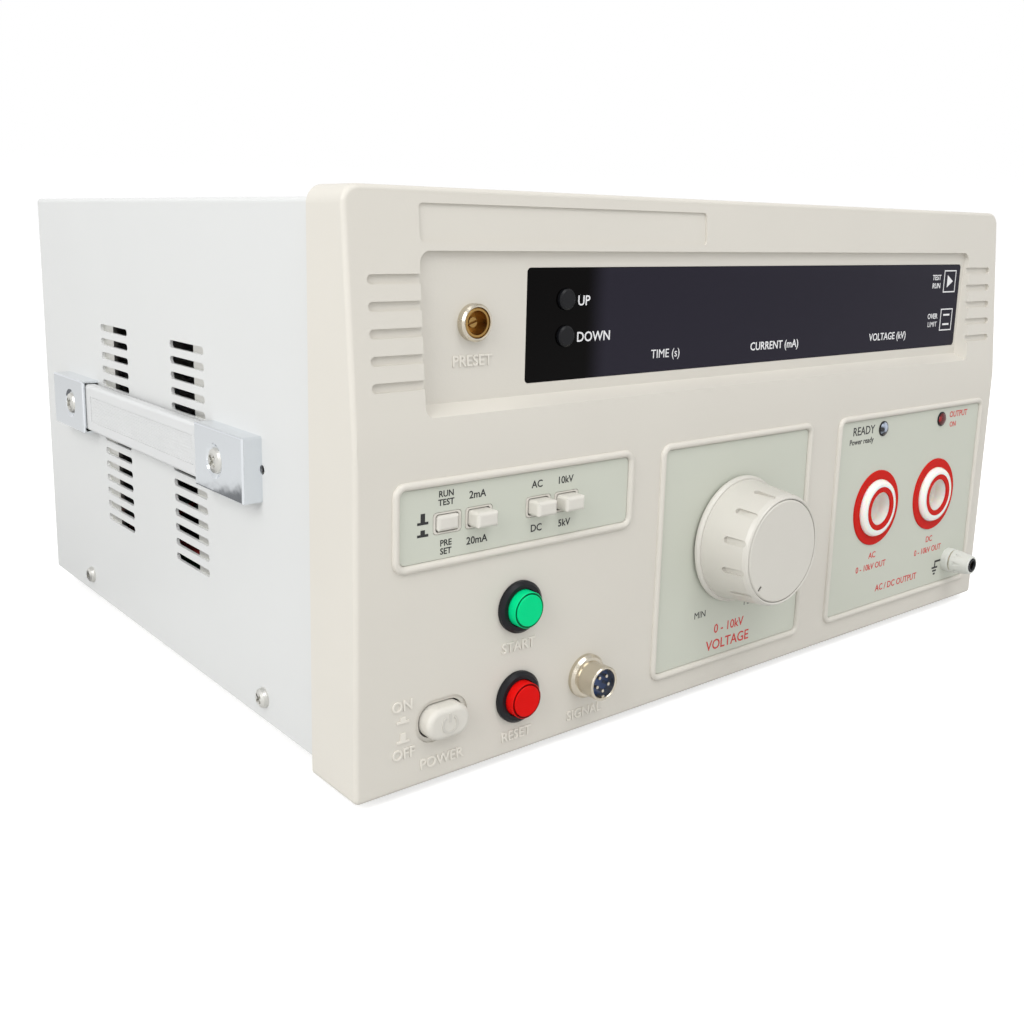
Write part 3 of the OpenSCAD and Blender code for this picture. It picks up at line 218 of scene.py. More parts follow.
def moulded_abs(colour):
    """ABS moulded in a spark-eroded tool."""
    # an even matt skin; the real grain of 0.3 mm is drawn three times as coarse so that it shows
    material, tree, shader, where = new_finish("moulded_abs", {"Roughness": 0.46, "IOR": 1.53})
    mottled(tree, shader, where, colour, size=45, low=0.975, high=1.02)
    grained(tree, shader, where, size=0.9, depth=0.05)
    return material


def rubbed_abs_painted_light(colour):
    """ABS moulded in a spark-eroded tool, rubbed smooth on its high spots, with painted light in its colour."""
    # painted highlight: the colour is lifted so that raised words look lit, lighter than the face round them
    material, tree, shader, where = new_finish("rubbed_abs_painted_light", {"Roughness": 0.36, "IOR": 1.53})
    mottled(tree, shader, where, shade(colour, 1.14), size=20, low=0.98, high=1.02)
    grained(tree, shader, where, size=0.9, depth=0.03)
    return material


def polished_abs(colour):
    """ABS moulded in a polished tool, for keys and knobs."""
    # a smoother, brighter skin than the bezel, with broad soft highlights
    material, tree, shader, where = new_finish("polished_abs", {"Roughness": 0.32, "IOR": 1.53})
    mottled(tree, shader, where, colour, size=20, low=0.98, high=1.02)
    grained(tree, shader, where, size=1.2, depth=0.02)
    return material


def satin_abs(colour):
    """ABS moulded in a blasted tool, for the power key and the disc in the knob."""
    # duller and greyer than the polished knob, so the joint between the two shows
    material, tree, shader, where = new_finish("satin_abs", {"Roughness": 0.5, "IOR": 1.53,
                                                             "Specular IOR Level": 0.3})
    mottled(tree, shader, where, colour, size=15, low=0.985, high=1.015)
    grained(tree, shader, where, size=0.6, depth=0.03)
    return material


def powder_coat(colour):
    """Sheet steel with a baked powder coat."""
    # the faint orange peel of baked powder, 2 mm across, breaks up its satin highlight
    material, tree, shader, where = new_finish("powder_coat", {"Roughness": 0.5, "IOR": 1.5,
                                                               "Specular IOR Level": 0.3})
    mottled(tree, shader, where, colour, size=60, low=0.98, high=1.015)
    grained(tree, shader, where, size=2.0, depth=0.06, strength=0.35)
    return material


def printed_film(colour):
    """Polycarbonate film, velvet side out, printed on its back."""
    # flat colour with a velvet sparkle; the 0.2 mm velvet is drawn at 0.7 mm so that it shows
    material, tree, shader, where = new_finish("printed_film", {"Roughness": 0.5, "IOR": 1.58})
    mottled(tree, shader, where, colour, size=30, low=0.985, high=1.015)
    grained(tree, shader, where, size=0.7, depth=0.02)
    return material


def soft_pvc(colour):
    """Extruded soft PVC."""
    # extruded lines run along the strap, and the skin has a slight sheen
    material, tree, shader, where = new_finish("soft_pvc", {"Roughness": 0.5, "IOR": 1.53, "Sheen Weight": 0.1})
    mottled(tree, shader, where, colour, size=25, low=0.97, high=1.02)
    lines = add(tree, "ShaderNodeTexWave", {"bands_direction": "Z", "Scale": bands_of(1.2), "Distortion": 0.6},
                {"Vector": where})
    bump = add(tree, "ShaderNodeBump", {"Strength": 0.3, "Distance": 0.03 * MM},
               {"Height": lines.outputs["Fac"]})
    tree.links.new(bump.outputs["Normal"], shader.inputs["Normal"])
    return material


def plated(name, code, rough_low, rough_high, smear, depth=0.03):
    """Electroplated metal whose surface and gloss drift a little."""
    material, tree, shader, where = new_finish(name, {"Metallic": 1.0, "Base Color": linear(code)})
    drift = grained(tree, shader, where, smear, depth, strength=0.2)
    gloss = add(tree, "ShaderNodeMapRange", {"To Min": rough_low, "To Max": rough_high},
                {"Value": drift.outputs["Fac"]})
    tree.links.new(gloss.outputs["Result"], shader.inputs["Roughness"])
    return material


def chrome_plate():
    """Zinc die casting, polished and chromed."""
    # sharp reflections that wobble, as the hand-polished casting under the plate does
    return plated("chrome_plate", "#E4E8EC", rough_low=0.04, rough_high=0.1, smear=16, depth=0.5)


def nickel_plate():
    """Turned brass, nickel plated."""
    # a warm, softer mirror than chrome
    return plated("nickel_plate", "#D2CABA", rough_low=0.18, rough_high=0.32, smear=4)


def zinc_plate():
    """Steel with bright zinc plate."""
    # a soft grey metal shine with a cloudy drift
    return plated("zinc_plate", "#DBDAD5", rough_low=0.3, rough_high=0.46, smear=6)


def turned_brass():
    """Brass, turned and left bare."""
    # yellow metal whose fine tool marks spread the highlight
    return plated("turned_brass", "#B08D55", rough_low=0.24, rough_high=0.4, smear=1.5)


def cast_aluminium():
    """Sand-cast aluminium."""
    # a dull grey, pebbled metal
    return plated("cast_aluminium", "#B4B6B8", rough_low=0.45, rough_high=0.6, smear=2.5)


def smoked_acrylic(colour, mask):
    """Smoked acrylic sheet with a painted dark reflection over its left end."""
    # a dark mirror; the blacker colour round the timer buttons is a painted reflection, and wiping leaves a
    # faint haze
    material, tree, shader, where = new_finish("smoked_acrylic", {"IOR": 1.49, "Specular IOR Level": 0.07})
    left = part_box("display_window")[0].x
    painted_reflection_end, tint_start = left + 25 * MM, left + 36 * MM
    axes = add(tree, "ShaderNodeSeparateXYZ", links={"Vector": where})
    side = add(tree, "ShaderNodeMapRange", {"interpolation_type": "SMOOTHSTEP", "From Min": painted_reflection_end,
                                            "From Max": tint_start}, {"Value": axes.outputs["X"]})
    # painted reflection: the left end takes the darker colour held in mask
    blend = add(tree, "ShaderNodeMixRGB", {"Color1": mask, "Color2": colour}, {"Fac": side.outputs["Result"]})
    tree.links.new(blend.outputs["Color"], shader.inputs["Base Color"])
    haze = add(tree, "ShaderNodeTexNoise", {"Scale": per_mm(35), "Detail": 3.0}, {"Vector": where})
    gloss = add(tree, "ShaderNodeMapRange", {"To Min": 0.05, "To Max": 0.14}, {"Value": haze.outputs["Fac"]})
    tree.links.new(gloss.outputs["Result"], shader.inputs["Roughness"])
    return material


def black_nylon(colour):
    """Glass-filled nylon, moulded."""
    # a dark satin skin with a slight mottle from the glass
    material, tree, shader, where = new_finish("black_nylon", {"Roughness": 0.38, "IOR": 1.53,
                                                               "Specular IOR Level": 0.2})
    mottled(tree, shader, where, colour, size=6, low=0.85, high=1.2)
    grained(tree, shader, where, size=0.8, depth=0.03)
    return material


def white_urea(colour):
    """Urea moulding compound, pressed and polished."""
    # a dense, china-like gloss that lets a little light into deep holes
    material, tree, shader, where = new_finish("white_urea", {
        "Roughness": 0.16, "IOR": 1.55, "Coat Weight": 0.3, "Subsurface Weight": 0.5,
        "Subsurface Scale": 4 * MM})
    mottled(tree, shader, where, colour, size=12, low=0.985, high=1.01)
    grained(tree, shader, where, size=3.0, depth=0.01)
    return material


def tinted_polycarbonate(name, colour):
    """Through-coloured polycarbonate, moulded."""
    # a saturated body that glows a little at thin edges, under a clear gloss
    material, tree, shader, where = new_finish(name, {
        "Roughness": 0.25, "IOR": 1.58, "Specular IOR Level": 0.04, "Subsurface Weight": 0.1,
        "Subsurface Scale": 1.5 * MM})
    mottled(tree, shader, where, colour, size=5, low=0.94, high=1.06)
    grained(tree, shader, where, size=2.0, depth=0.01)
    return material


def cast_epoxy(name, code, clear, patch, low, high):
    """Epoxy lamp lens, cast."""
    # a small glassy dome; its darker and brighter patches stand partly for the cup and wires inside, partly for
    # painted glints
    material, tree, shader, where = new_finish(name, {"Roughness": 0.08, "IOR": 1.52,
                                                      "Transmission Weight": clear})
    inner_parts_and_glints = add(tree, "ShaderNodeTexNoise", {"Scale": per_mm(patch), "Detail": 0.0}, {"Vector": where})
    depth = add(tree, "ShaderNodeMapRange", {"From Min": 0.4, "From Max": 0.6},
                {"Value": inner_parts_and_glints.outputs["Fac"]})
    colour = linear(code)
    blend = add(tree, "ShaderNodeMixRGB", {"Color1": shade(colour, low), "Color2": shade(colour, high)},
                {"Fac": depth.outputs["Result"]})
    tree.links.new(blend.outputs["Color"], shader.inputs["Base Color"])
    return material


def foot_rubber():
    """Black rubber, moulded."""
    # a dull, chalky black
    material, tree, shader, where = new_finish("foot_rubber", {"Roughness": 0.78, "IOR": 1.52})
    mottled(tree, shader, where, linear("#1B1B1C"), size=5, low=0.8, high=1.25)
    grained(tree, shader, where, size=0.8, depth=0.06)
    return material


def circuit_board():
    """Glass-epoxy laminate under green solder mask."""
    # tracks show through the mask as paler lines, 3.5 mm apart one way and 7 mm the other
    material, tree, shader, where = new_finish("solder_mask", {"Roughness": 0.3, "IOR": 1.5})
    tracks = add(tree, "ShaderNodeTexBrick", {"Scale": per_mm(14), "Color1": linear("#1F5A38"),
                                              "Color2": linear("#245F3C"), "Mortar": linear("#3E7F55"),
                                              "Mortar Size": 0.03}, {"Vector": where})
    tree.links.new(tracks.outputs["Color"], shader.inputs["Base Color"])
    grained(tree, shader, where, size=1.0, depth=0.02)
    return material


def banded(name, settings, colour_a, colour_b, pitch, axis):
    """A finish with close parallel bands, such as turns of wire or stacked sheets."""
    material, tree, shader, where = new_finish(name, settings)
    bands = add(tree, "ShaderNodeTexWave", {"bands_direction": axis, "Scale": bands_of(pitch),
                                            "Distortion": 0.4}, {"Vector": where})
    blend = add(tree, "ShaderNodeMixRGB", {"Color1": linear(colour_a), "Color2": linear(colour_b)},
                {"Fac": bands.outputs["Fac"]})
    tree.links.new(blend.outputs["Color"], shader.inputs["Base Color"])
    bump = add(tree, "ShaderNodeBump", {"Strength": 0.6, "Distance": 0.2 * MM},
               {"Height": bands.outputs["Fac"]})
    tree.links.new(bump.outputs["Normal"], shader.inputs["Normal"])
    return material


def enamelled_copper():
    """Enamelled copper wire, wound in one layer."""
    # each 1 mm turn catches its own highlight
    return banded("enamelled_copper", {"Metallic": 0.9, "Roughness": 0.3}, "#7A3E1C", "#B97442",
                  pitch=1.0, axis="Y")


def stacked_steel():
    """Silicon steel sheets, stacked and varnished."""
    # 0.5 mm sheets, drawn at 1.5 mm so that the stack shows
    return banded("stacked_steel", {"Metallic": 0.8, "Roughness": 0.5}, "#4A4C50", "#6A6C70",
                  pitch=1.5, axis="Y")


def polyester_tape():
    """Yellow polyester tape over a winding."""
    # overlapped laps 10 mm wide with a waxy shine
    return banded("polyester_tape", {"Roughness": 0.35}, "#B99A4C", "#CDB26A",
                  pitch=10.0, axis="Z")


def silicone_sleeve():
    """Silicone-rubber insulated lead, extruded."""
    # a soft red with a dry sheen
    material, tree, shader, where = new_finish("silicone_sleeve", {"Roughness": 0.5, "IOR": 1.43,
                                                                   "Sheen Weight": 0.15})
    mottled(tree, shader, where, linear("#B4231C"), size=8, low=0.92, high=1.08)
    grained(tree, shader, where, size=1.0, depth=0.03)
    return material


def blue_phenolic():
    """Blue phenolic, pressed."""
    # deep blue with a satin shine
    material, tree, shader, where = new_finish("blue_phenolic", {"Roughness": 0.3, "IOR": 1.6})
    mottled(tree, shader, where, linear("#143A70"), size=3, low=0.85, high=1.15)
    grained(tree, shader, where, size=0.8, depth=0.02)
    return material


def screen_ink(name, colour):
    """Screen-printed ink."""
    # a thin, even film; the mesh leaves a faint unevenness, drawn at 0.5 mm
    material, tree, shader, where = new_finish(name, {"Roughness": 0.45, "IOR": 1.5})
    mottled(tree, shader, where, colour, size=0.5, low=0.93, high=1.07)
    return material


def floor_paint():
    """Matt white studio floor, lit through."""
    # burns out to white, so that only the contact shadow shows; for glossy rays alone the floor glows a little
    # more and turns dark in a spot beside the handle: a painted reflection that the polished metal mirrors
    eye_glow, mirror_glow = 0.65, 0.15
    spot, spot_inner, spot_outer = (-0.25, 0.2, 0), 0.10, 0.13
    material, tree, shader, where = new_finish("floor_paint", {"Roughness": 0.85,
                                                               "Emission Color": linear("#FFFFFF")})
    ray = add(tree, "ShaderNodeLightPath")
    seen = add(tree, "ShaderNodeMath", {"operation": "MULTIPLY", 1: eye_glow},
               {0: ray.outputs["Is Camera Ray"]})
    glow = add(tree, "ShaderNodeMath", {"operation": "MULTIPLY_ADD", 1: mirror_glow},
               {0: ray.outputs["Is Glossy Ray"], 2: seen.outputs["Value"]})
    tree.links.new(glow.outputs["Value"], shader.inputs["Emission Strength"])
    # painted reflection: the dark spot beside the handle, seen by glossy rays only
    away = add(tree, "ShaderNodeVectorMath", {"operation": "DISTANCE", 1: spot}, {0: where})
    near = add(tree, "ShaderNodeMapRange", {"interpolation_type": "SMOOTHSTEP", "From Min": spot_inner,
                                            "From Max": spot_outer, "To Min": 1.0, "To Max": 0.0},
               {"Value": away.outputs["Value"]})
    dark = add(tree, "ShaderNodeMath", {"operation": "MULTIPLY"},
               {0: near.outputs["Result"], 1: ray.outputs["Is Glossy Ray"]})
    drift = add(tree, "ShaderNodeTexNoise", {"Scale": per_mm(400)}, {"Vector": where})
    pale = add(tree, "ShaderNodeMixRGB", {"Color1": linear("#C6C6C5"), "Color2": linear("#CACAC9")},
               {"Fac": drift.outputs["Fac"]})
    blend = add(tree, "ShaderNodeMixRGB", {"Color2": linear("#202226")},
                {"Fac": dark.outputs["Value"], "Color1": pale.outputs["Color"]})
    tree.links.new(blend.outputs["Color"], shader.inputs["Base Color"])
    return material


def use(maker, *args):
    """The finish that a maker makes, made once."""
    key = (maker.__name__,) + tuple(str(tuple(a)) if hasattr(a, "__len__") else a for a in args)
    if key not in FINISHES:
        FINISHES[key] = maker(*args)
    return FINISHES[key]


def dress(material, *nodes):
    """Gives CAD nodes their finish."""
    for name in nodes:
        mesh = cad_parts[name].data
        mesh.materials.clear()
        mesh.materials.append(material)


def front_plane(depth):
    """Panel millimetres to the frame on an upright plane that faces the user; depth is its y in metres."""
    return Matrix(((MM, 0, 0, 0), (0, 0, -MM, depth), (0, MM, 0, BASE_Z), (0, 0, 0, 1)))


def arc(x, z, radius, start, end):
    """Points of an arc, degrees from the right, anticlockwise."""
    turns = [math.radians(start + (end - start) * i / ARC_STEPS) for i in range(ARC_STEPS + 1)]
    return [(x + radius * math.cos(t), z + radius * math.sin(t)) for t in turns]


class Artwork:
    """Flat shapes and words on one plane, gathered into one piece."""

    def __init__(self, plane, rise):
        self.plane = plane
        self.rise = rise / MM
        self.mesh = bmesh.new()

    def word(self, text, x, z, cap, align="CENTER", bold=0.05, edge=0.0):
        """A word with capitals of that height in metres, their middle at z; bold and edge in millimetres."""
        curve = bpy.data.curves.new("word", "FONT")
        curve.body = text
        curve.size = cap / MM / CAP_HEIGHT
        curve.align_x = align
        curve.offset = 0 if "M" in text else bold  # an M's close strokes would cross
        curve.bevel_depth = edge
        curve.extrude = self.rise / 2 - edge
        curve.resolution_u = FONT_STEPS
        holder = bpy.data.objects.new("word", curve)
        bpy.context.scene.collection.objects.link(holder)
        bpy.context.view_layer.update()
        shape = bpy.data.meshes.new_from_object(holder.evaluated_get(bpy.context.evaluated_depsgraph_get()))
        shape.transform(Matrix.Translation((x, z - cap / MM / 2, self.rise / 2)))
        self.mesh.from_mesh(shape)
        bmesh.ops.remove_doubles(self.mesh, verts=self.mesh.verts, dist=WELD)
        bpy.data.objects.remove(holder)
        bpy.data.curves.remove(curve)
        bpy.data.meshes.remove(shape)

    def outline(self, points):
        """A filled outline, raised off the plane."""
        foot = [self.mesh.verts.new((x, z, 0)) for x, z in points]
        top = [self.mesh.verts.new((x, z, self.rise)) for x, z in points]
        self.mesh.faces.new(top)
        self.mesh.faces.new(foot[::-1])
        for i in range(len(points)):
            j = (i + 1) % len(points)
            self.mesh.faces.new((foot[i], foot[j], top[j], top[i]))

    def bar(self, x0, z0, x1, z1):
        """A filled rectangle between two corners."""
        self.outline([(x0, z0), (x1, z0), (x1, z1), (x0, z1)])

    def sweep(self, x, z, radius, width, start, end):
        """A curved stroke."""
        outer = arc(x, z, radius + width / 2, start, end)
        inner = arc(x, z, radius - width / 2, start, end)
        self.outline(outer + inner[::-1])

    def box_line(self, x, z, w, h, width):
        """A rectangle drawn in outline, centred on x, z."""
        half = width / 2
        for s in (-1, 1):
            line_x, line_z = x + s * (w - width) / 2, z + s * (h - width) / 2
            self.bar(x - w / 2, line_z - half, x + w / 2, line_z + half)
            self.bar(line_x - half, z - h / 2 + width, line_x + half, z + h / 2 - width)

    def piece(self, name, material, body):
        """Puts the artwork on its plane as one piece that rides on a body."""
        bmesh.ops.recalc_face_normals(self.mesh, faces=self.mesh.faces)
        self.mesh.transform(self.plane)
        solid(name, self.mesh, material, body)


def solid(name, mesh, material, body):
    """Turns a finished bmesh into a piece that rides on a body."""
    data = bpy.data.meshes.new(name)
    mesh.to_mesh(data)
    mesh.free()
    data.materials.append(material)
    made = bpy.data.objects.new(name, data)
    bpy.context.scene.collection.objects.link(made)
    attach(made, body)
    return made


def turned(name, node, profile, material, body):
    """A ring or plug turned about a node's own y axis; the profile gives radius and depth in millimetres."""
    x, z = middle(node)
    mesh = bmesh.new()
    rings = []
    for radius, depth in profile:
        ring = []
        for i in range(TURN_STEPS):
            t = 2 * math.pi * i / TURN_STEPS
            ring.append(mesh.verts.new((x * MM + radius * MM * math.cos(t), FACE_Y + depth * MM,
                                        BASE_Z + z * MM + radius * MM * math.sin(t))))
        rings.append(ring)
    for a, b in zip(rings, rings[1:] + rings[:1]):
        for i in range(TURN_STEPS):
            j = (i + 1) % TURN_STEPS
            mesh.faces.new((a[i], a[j], b[j], b[i]))
    bmesh.ops.recalc_face_normals(mesh, faces=mesh.faces)
    solid(name, mesh, material, body).data.shade_smooth()


def moulded_words(art, words, cap):
    """Bold moulded words with sloping sides: text, x and z of each."""
    for text, x, z in words:
        art.word(text, x, z, cap, bold=0.02, edge=0.08)


def latch_sign(art, x, z, width, tall, line):
    """A key drawn from the side, standing on its line: tall when out, low when in."""
    art.bar(x - width / 2, z, x + width / 2, z + line)
    art.bar(x - width / 5, z + line, x + width / 5, z + line + tall)


class StageOperator(bpy.types.Operator):
    """Makes the floor, the light and the camera"""

    bl_idname = "tester.stage"
    bl_label = "Stage"

    def execute(self, context):
        stage = context.scene.tester_stage
        self.floor(stage)
        self.light(context, stage)
        self.camera(context, stage)
        context.scene.view_settings.view_transform = "Standard"
        return {"FINISHED"}

    def floor(self, stage):
        """A round floor just under the feet."""
        gap = 0.05 * MM
        mesh = bmesh.new()
        bmesh.ops.create_circle(mesh, cap_ends=True, segments=96, radius=stage.floor)
        data = bpy.data.meshes.new("floor")
        mesh.to_mesh(data)
        mesh.free()
        data.materials.append(use(floor_paint))
        made = bpy.data.objects.new("floor", data)
        made.location.z = cad_box[0].z - gap
        bpy.context.scene.collection.objects.link(made)

    def light(self, context, stage):
        """A white tent, dimmer overhead, and two soft lights."""
        world = bpy.data.worlds.new("white_tent")
        world.use_nodes = True
        tree = world.node_tree
        tent = tree.nodes["Background"]
        tent.inputs["Color"].default_value = linear("#FFFFFF")
        ray = add(tree, "ShaderNodeLightPath")
        toward = add(tree, "ShaderNodeTexCoord")
        axes = add(tree, "ShaderNodeSeparateXYZ", links={"Vector": toward.outputs["Generated"]})
        wall = add(tree, "ShaderNodeMapRange", {"To Min": stage.sky, "To Max": stage.roof},
                   {"Value": axes.outputs["Z"]})
        strength = add(tree, "ShaderNodeMath", {"operation": "MAXIMUM"},
                       {0: wall.outputs["Result"], 1: ray.outputs["Is Camera Ray"]})
        tree.links.new(strength.outputs["Value"], tent.inputs["Strength"])
        context.scene.world = world
        aim = (cad_box[0] + cad_box[1]) / 2
        for name, place, power, size in (("key_light", (-1.5, -0.4, 1.0), stage.key, 1.1),
                                         ("top_light", (-0.1, -1.0, 1.6), stage.top, 1.0)):
            lamp = bpy.data.lights.new(name, "AREA")
            lamp.energy = power
            lamp.size = size
            made = bpy.data.objects.new(name, lamp)
            made.location = place
            made.rotation_euler = (aim - Vector(place)).to_track_quat("-Z", "Y").to_euler()
            context.scene.collection.objects.link(made)

    def camera(self, context, stage):
        """A camera at the eye, looking along yaw and pitch."""
        level = math.cos(stage.pitch)
        ahead = Vector((math.sin(stage.yaw) * level, math.cos(stage.yaw) * level, math.sin(stage.pitch)))
        right = Vector((math.cos(stage.yaw), -math.sin(stage.yaw), 0))
        right = Matrix.Rotation(-stage.roll, 3, ahead) @ right
        up = right.cross(ahead)
        data = bpy.data.cameras.new("camera")
        data.sensor_width = 36
        data.lens = stage.lens
        data.shift_x, data.shift_y = stage.shift
        data.clip_start = 0.01
        made = bpy.data.objects.new("camera", data)
        made.matrix_world = Matrix.Translation(stage.eye) @ Matrix((right, up, -ahead)).transposed().to_4x4()
        context.scene.collection.objects.link(made)
        context.scene.camera = made


class CasingOperator(bpy.types.Operator):
    """Finishes the bezel, the overlays, the cabinet and its fasteners"""

    bl_idname = "tester.casing"
    bl_label = "Casing"

    def execute(self, context):
        colours = context.scene.tester_colours
        dress(use(moulded_abs, colours.bezel), "front_bezel")
        dress(use(printed_film, colours.overlay), "panel_overlays")
        dress(use(powder_coat, colours.cabinet), "cabinet_cover", "rear_panel")
        dress(use(zinc_plate), "chassis_tray", "side_stiffeners", "case_screws")
        dress(use(foot_rubber), "rubber_feet")
        return {"FINISHED"}


class HandlesOperator(bpy.types.Operator):
    """Finishes the carrying straps and their chromed caps"""

    bl_idname = "tester.handles"
    bl_label = "Handles"

    def execute(self, context):
        dress(use(soft_pvc, context.scene.tester_colours.strap), "handle_straps")
        dress(use(chrome_plate), "handle_caps")
        dress(use(zinc_plate), "handle_screws")
        return {"FINISHED"}


class DisplayOperator(bpy.types.Operator):
    """Finishes the window and what stands behind it, and prints the window"""

    bl_idname = "tester.display"
    bl_label = "Display"

    def execute(self, context):
        colours = context.scene.tester_colours
        sizes = context.scene.tester_sizes
        dress(use(smoked_acrylic, colours.window, colours.window_painted_reflection), "display_window")
        dress(use(black_nylon, shade(colours.dark, 0.6)), "timer_up_button", "timer_down_button")
        dress(use(black_nylon, colours.dark), "tact_switches", "digit_modules")
        dress(use(circuit_board), "display_board")
        art = Artwork(front_plane(RECESS_Y), sizes.ink)
        word_gap, word_drop, row_rise = 5.2, 0.5, 6.2
        for node, text in (("timer_up_button", "UP"), ("timer_down_button", "DOWN")):
            x, z = middle(node)
            art.word(text, x + word_gap, z - word_drop, 0.95 * sizes.label, "LEFT")
        row_z = (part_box("display_window")[0].z - BASE_Z) / MM + row_rise
        for text, x in (("TIME (s)", -44), ("CURRENT (mA)", 17), ("VOLTAGE (kV)", 93.7)):
            art.word(text, x, row_z, 0.9 * sizes.label)
        self.signs(art, 0.95 * sizes.word)
        art.piece("window_print", use(screen_ink, "white_ink", colours.white_ink), "tester")
        return {"FINISHED"}

    def signs(self, art, cap):
        """Two framed signs at the right end, an arrow and a pair of lines, with two words beside each."""
        x, arrow_z, lines_z = 139, 150.5, 133.5
        side, line, word_gap, word_rise = 9.8, 0.5, 7.4, 1.8
        for upper, lower, z in (("TEST", "RUN", arrow_z), ("OVER", "LIMIT", lines_z)):
            art.box_line(x, z, side, side, line)
            art.word(upper, x - word_gap, z + word_rise, cap, "RIGHT")
            art.word(lower, x - word_gap, z - word_rise, cap, "RIGHT")
        back, tip, half = 2, 2.6, 2.7
        art.outline([(x - back, arrow_z - half), (x + tip, arrow_z), (x - back, arrow_z + half)])
        long, near, far = 2.6, 1.7, 2.5
        art.bar(x - long, lines_z + near, x + long, lines_z + far)
        art.bar(x - long, lines_z - far, x + long, lines_z - near)


class PresetOperator(bpy.types.Operator):
    """Finishes the preset trimmer and its raised word"""

    bl_idname = "tester.preset"
    bl_label = "Preset trimmer"

    def execute(self, context):
        colours = context.scene.tester_colours
        sizes = context.scene.tester_sizes
        dress(use(turned_brass), "preset_bushing", "preset_shaft")
        dress(use(nickel_plate), "preset_nut")
        dress(use(blue_phenolic), "preset_pot_body")
        x, z = middle("preset_nut")
        word_drop = 11.5
        art = Artwork(front_plane(RECESS_Y), sizes.raised)
        moulded_words(art, [("PRESET", x, z - word_drop)], sizes.label)
        art.piece("preset_word", use(rubbed_abs_painted_light, colours.bezel), "tester")
        return {"FINISHED"}


class KeysOperator(bpy.types.Operator):
    """Finishes the selector keys and prints their plate"""

    bl_idname = "tester.keys"
    bl_label = "Selector keys"

    def execute(self, context):
        colours = context.scene.tester_colours
        sizes = context.scene.tester_sizes
        dress(use(polished_abs, colours.keys), "test_button", "current_button", "mode_button", "voltage_button")
        dress(use(black_nylon, colours.dark), "switch_bank")
        art = Artwork(front_plane(FACE_Y), sizes.ink)
        word_left, word_rise, word_drop = 0.7, 7.3, 7.1
        for node, above, below in (("current_button", "2mA", "20mA"), ("mode_button", "AC", "DC"),
                                   ("voltage_button", "10kV", "5kV")):
            x, z = middle(node)
            art.word(above, x - word_left, z + word_rise, sizes.word)
            art.word(below, x - word_left, z - word_drop, sizes.word)
        x, z = middle("test_button")
        stack_left, sign_left, sign_width, sign_line = 0.5, 9, 4, 0.8
        for text, up in (("RUN", 9.0), ("TEST", 6.4), ("PRE", -6.2), ("SET", -8.8)):
            art.word(text, x - stack_left, z + up, 0.82 * sizes.word)
        for foot, tall in ((0.45, 2.6), (-3.3, 1.3)):
            latch_sign(art, x - sign_left, z + foot, sign_width, tall, sign_line)
        art.piece("switch_print", use(screen_ink, "black_ink", colours.black_ink), "tester")
        return {"FINISHED"}


class PushButtonsOperator(bpy.types.Operator):
    """Finishes the start and reset buttons and their raised words"""

    bl_idname = "tester.push_buttons"
    bl_label = "Push buttons"

    def execute(self, context):
        colours = context.scene.tester_colours
        sizes = context.scene.tester_sizes
        dress(use(tinted_polycarbonate, "green_polycarbonate", colours.green), "start_button")
        dress(use(tinted_polycarbonate, "red_polycarbonate", colours.red), "reset_button")
        dress(use(black_nylon, colours.dark), "button_housings")
        art = Artwork(front_plane(FACE_Y), sizes.raised)
        inner, outer, shade_ring_front, shade_ring_back = 5.25, 5.75, 0.4, 0.75  # of the dark ring in a cap's groove
        for node, text, body, name, colour in (
                ("start_button", "START", "start_cap", "green_polycarbonate", colours.green),
                ("reset_button", "RESET", "reset_cap", "red_polycarbonate", colours.red)):
            x, z = middle(node)
            moulded_words(art, [(text, x, z - LABEL_DROP)], sizes.label)
            face = (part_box(node)[0].y - FACE_Y) / MM
            front, back = face + shade_ring_front, face + shade_ring_back
            # painted shadow: a ring in a darkened copy of the cap's colour stands in for the shade inside its
            # groove
            turned(node + "_ring", node, [(inner, front), (outer, front), (outer, back), (inner, back)],
                   use(tinted_polycarbonate, name + "_dark", shade(colour, 0.2)), body)
        art.piece("button_words", use(rubbed_abs_painted_light, colours.bezel), "tester")
        return {"FINISHED"}


class PowerOperator(bpy.types.Operator):
    """Finishes the power key, its switch and its raised words"""

    bl_idname = "tester.power"
    bl_label = "Power key"

    def execute(self, context):
        colours = context.scene.tester_colours
        sizes = context.scene.tester_sizes
        dress(use(satin_abs, colours.keys), "power_button")
        dress(use(black_nylon, colours.dark), "power_switch")
        x, z = middle("power_button")
        art = Artwork(front_plane(FACE_Y), sizes.raised)
        on, off = (x - 14.8, z + 8), (x - 14.3, z - 7.6)
        moulded_words(art, [("ON", *on), ("OFF", *off), ("POWER", x, z - LABEL_DROP)], sizes.label)
        latch_left, latch_width, latch_line = 14.6, 4.6, 0.7
        for foot, tall in ((2.4, 1.2), (-4.0, 2.4)):
            latch_sign(art, x - latch_left, z + foot, latch_width, tall, latch_line)
        art.piece("power_words", use(rubbed_abs_painted_light, colours.bezel), "tester")
        sign = Artwork(front_plane(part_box("power_button")[0].y), 0.6 * sizes.raised)
        ring_drop, ring_radius, stroke, ring_start, ring_end, bar_top = 0.2, 2.7, 0.8, 125, 415, 3.3
        sign.sweep(x, z - ring_drop, ring_radius, stroke, ring_start, ring_end)
        sign.bar(x - stroke / 2, z + stroke / 2, x + stroke / 2, z + bar_top)
        # painted shade: the sign takes a greyer colour than the key, for the shade along its raised edges
        sign.piece("power_sign", use(rubbed_abs_painted_light, shade(colours.keys, 0.78)), "power_key")
        return {"FINISHED"}


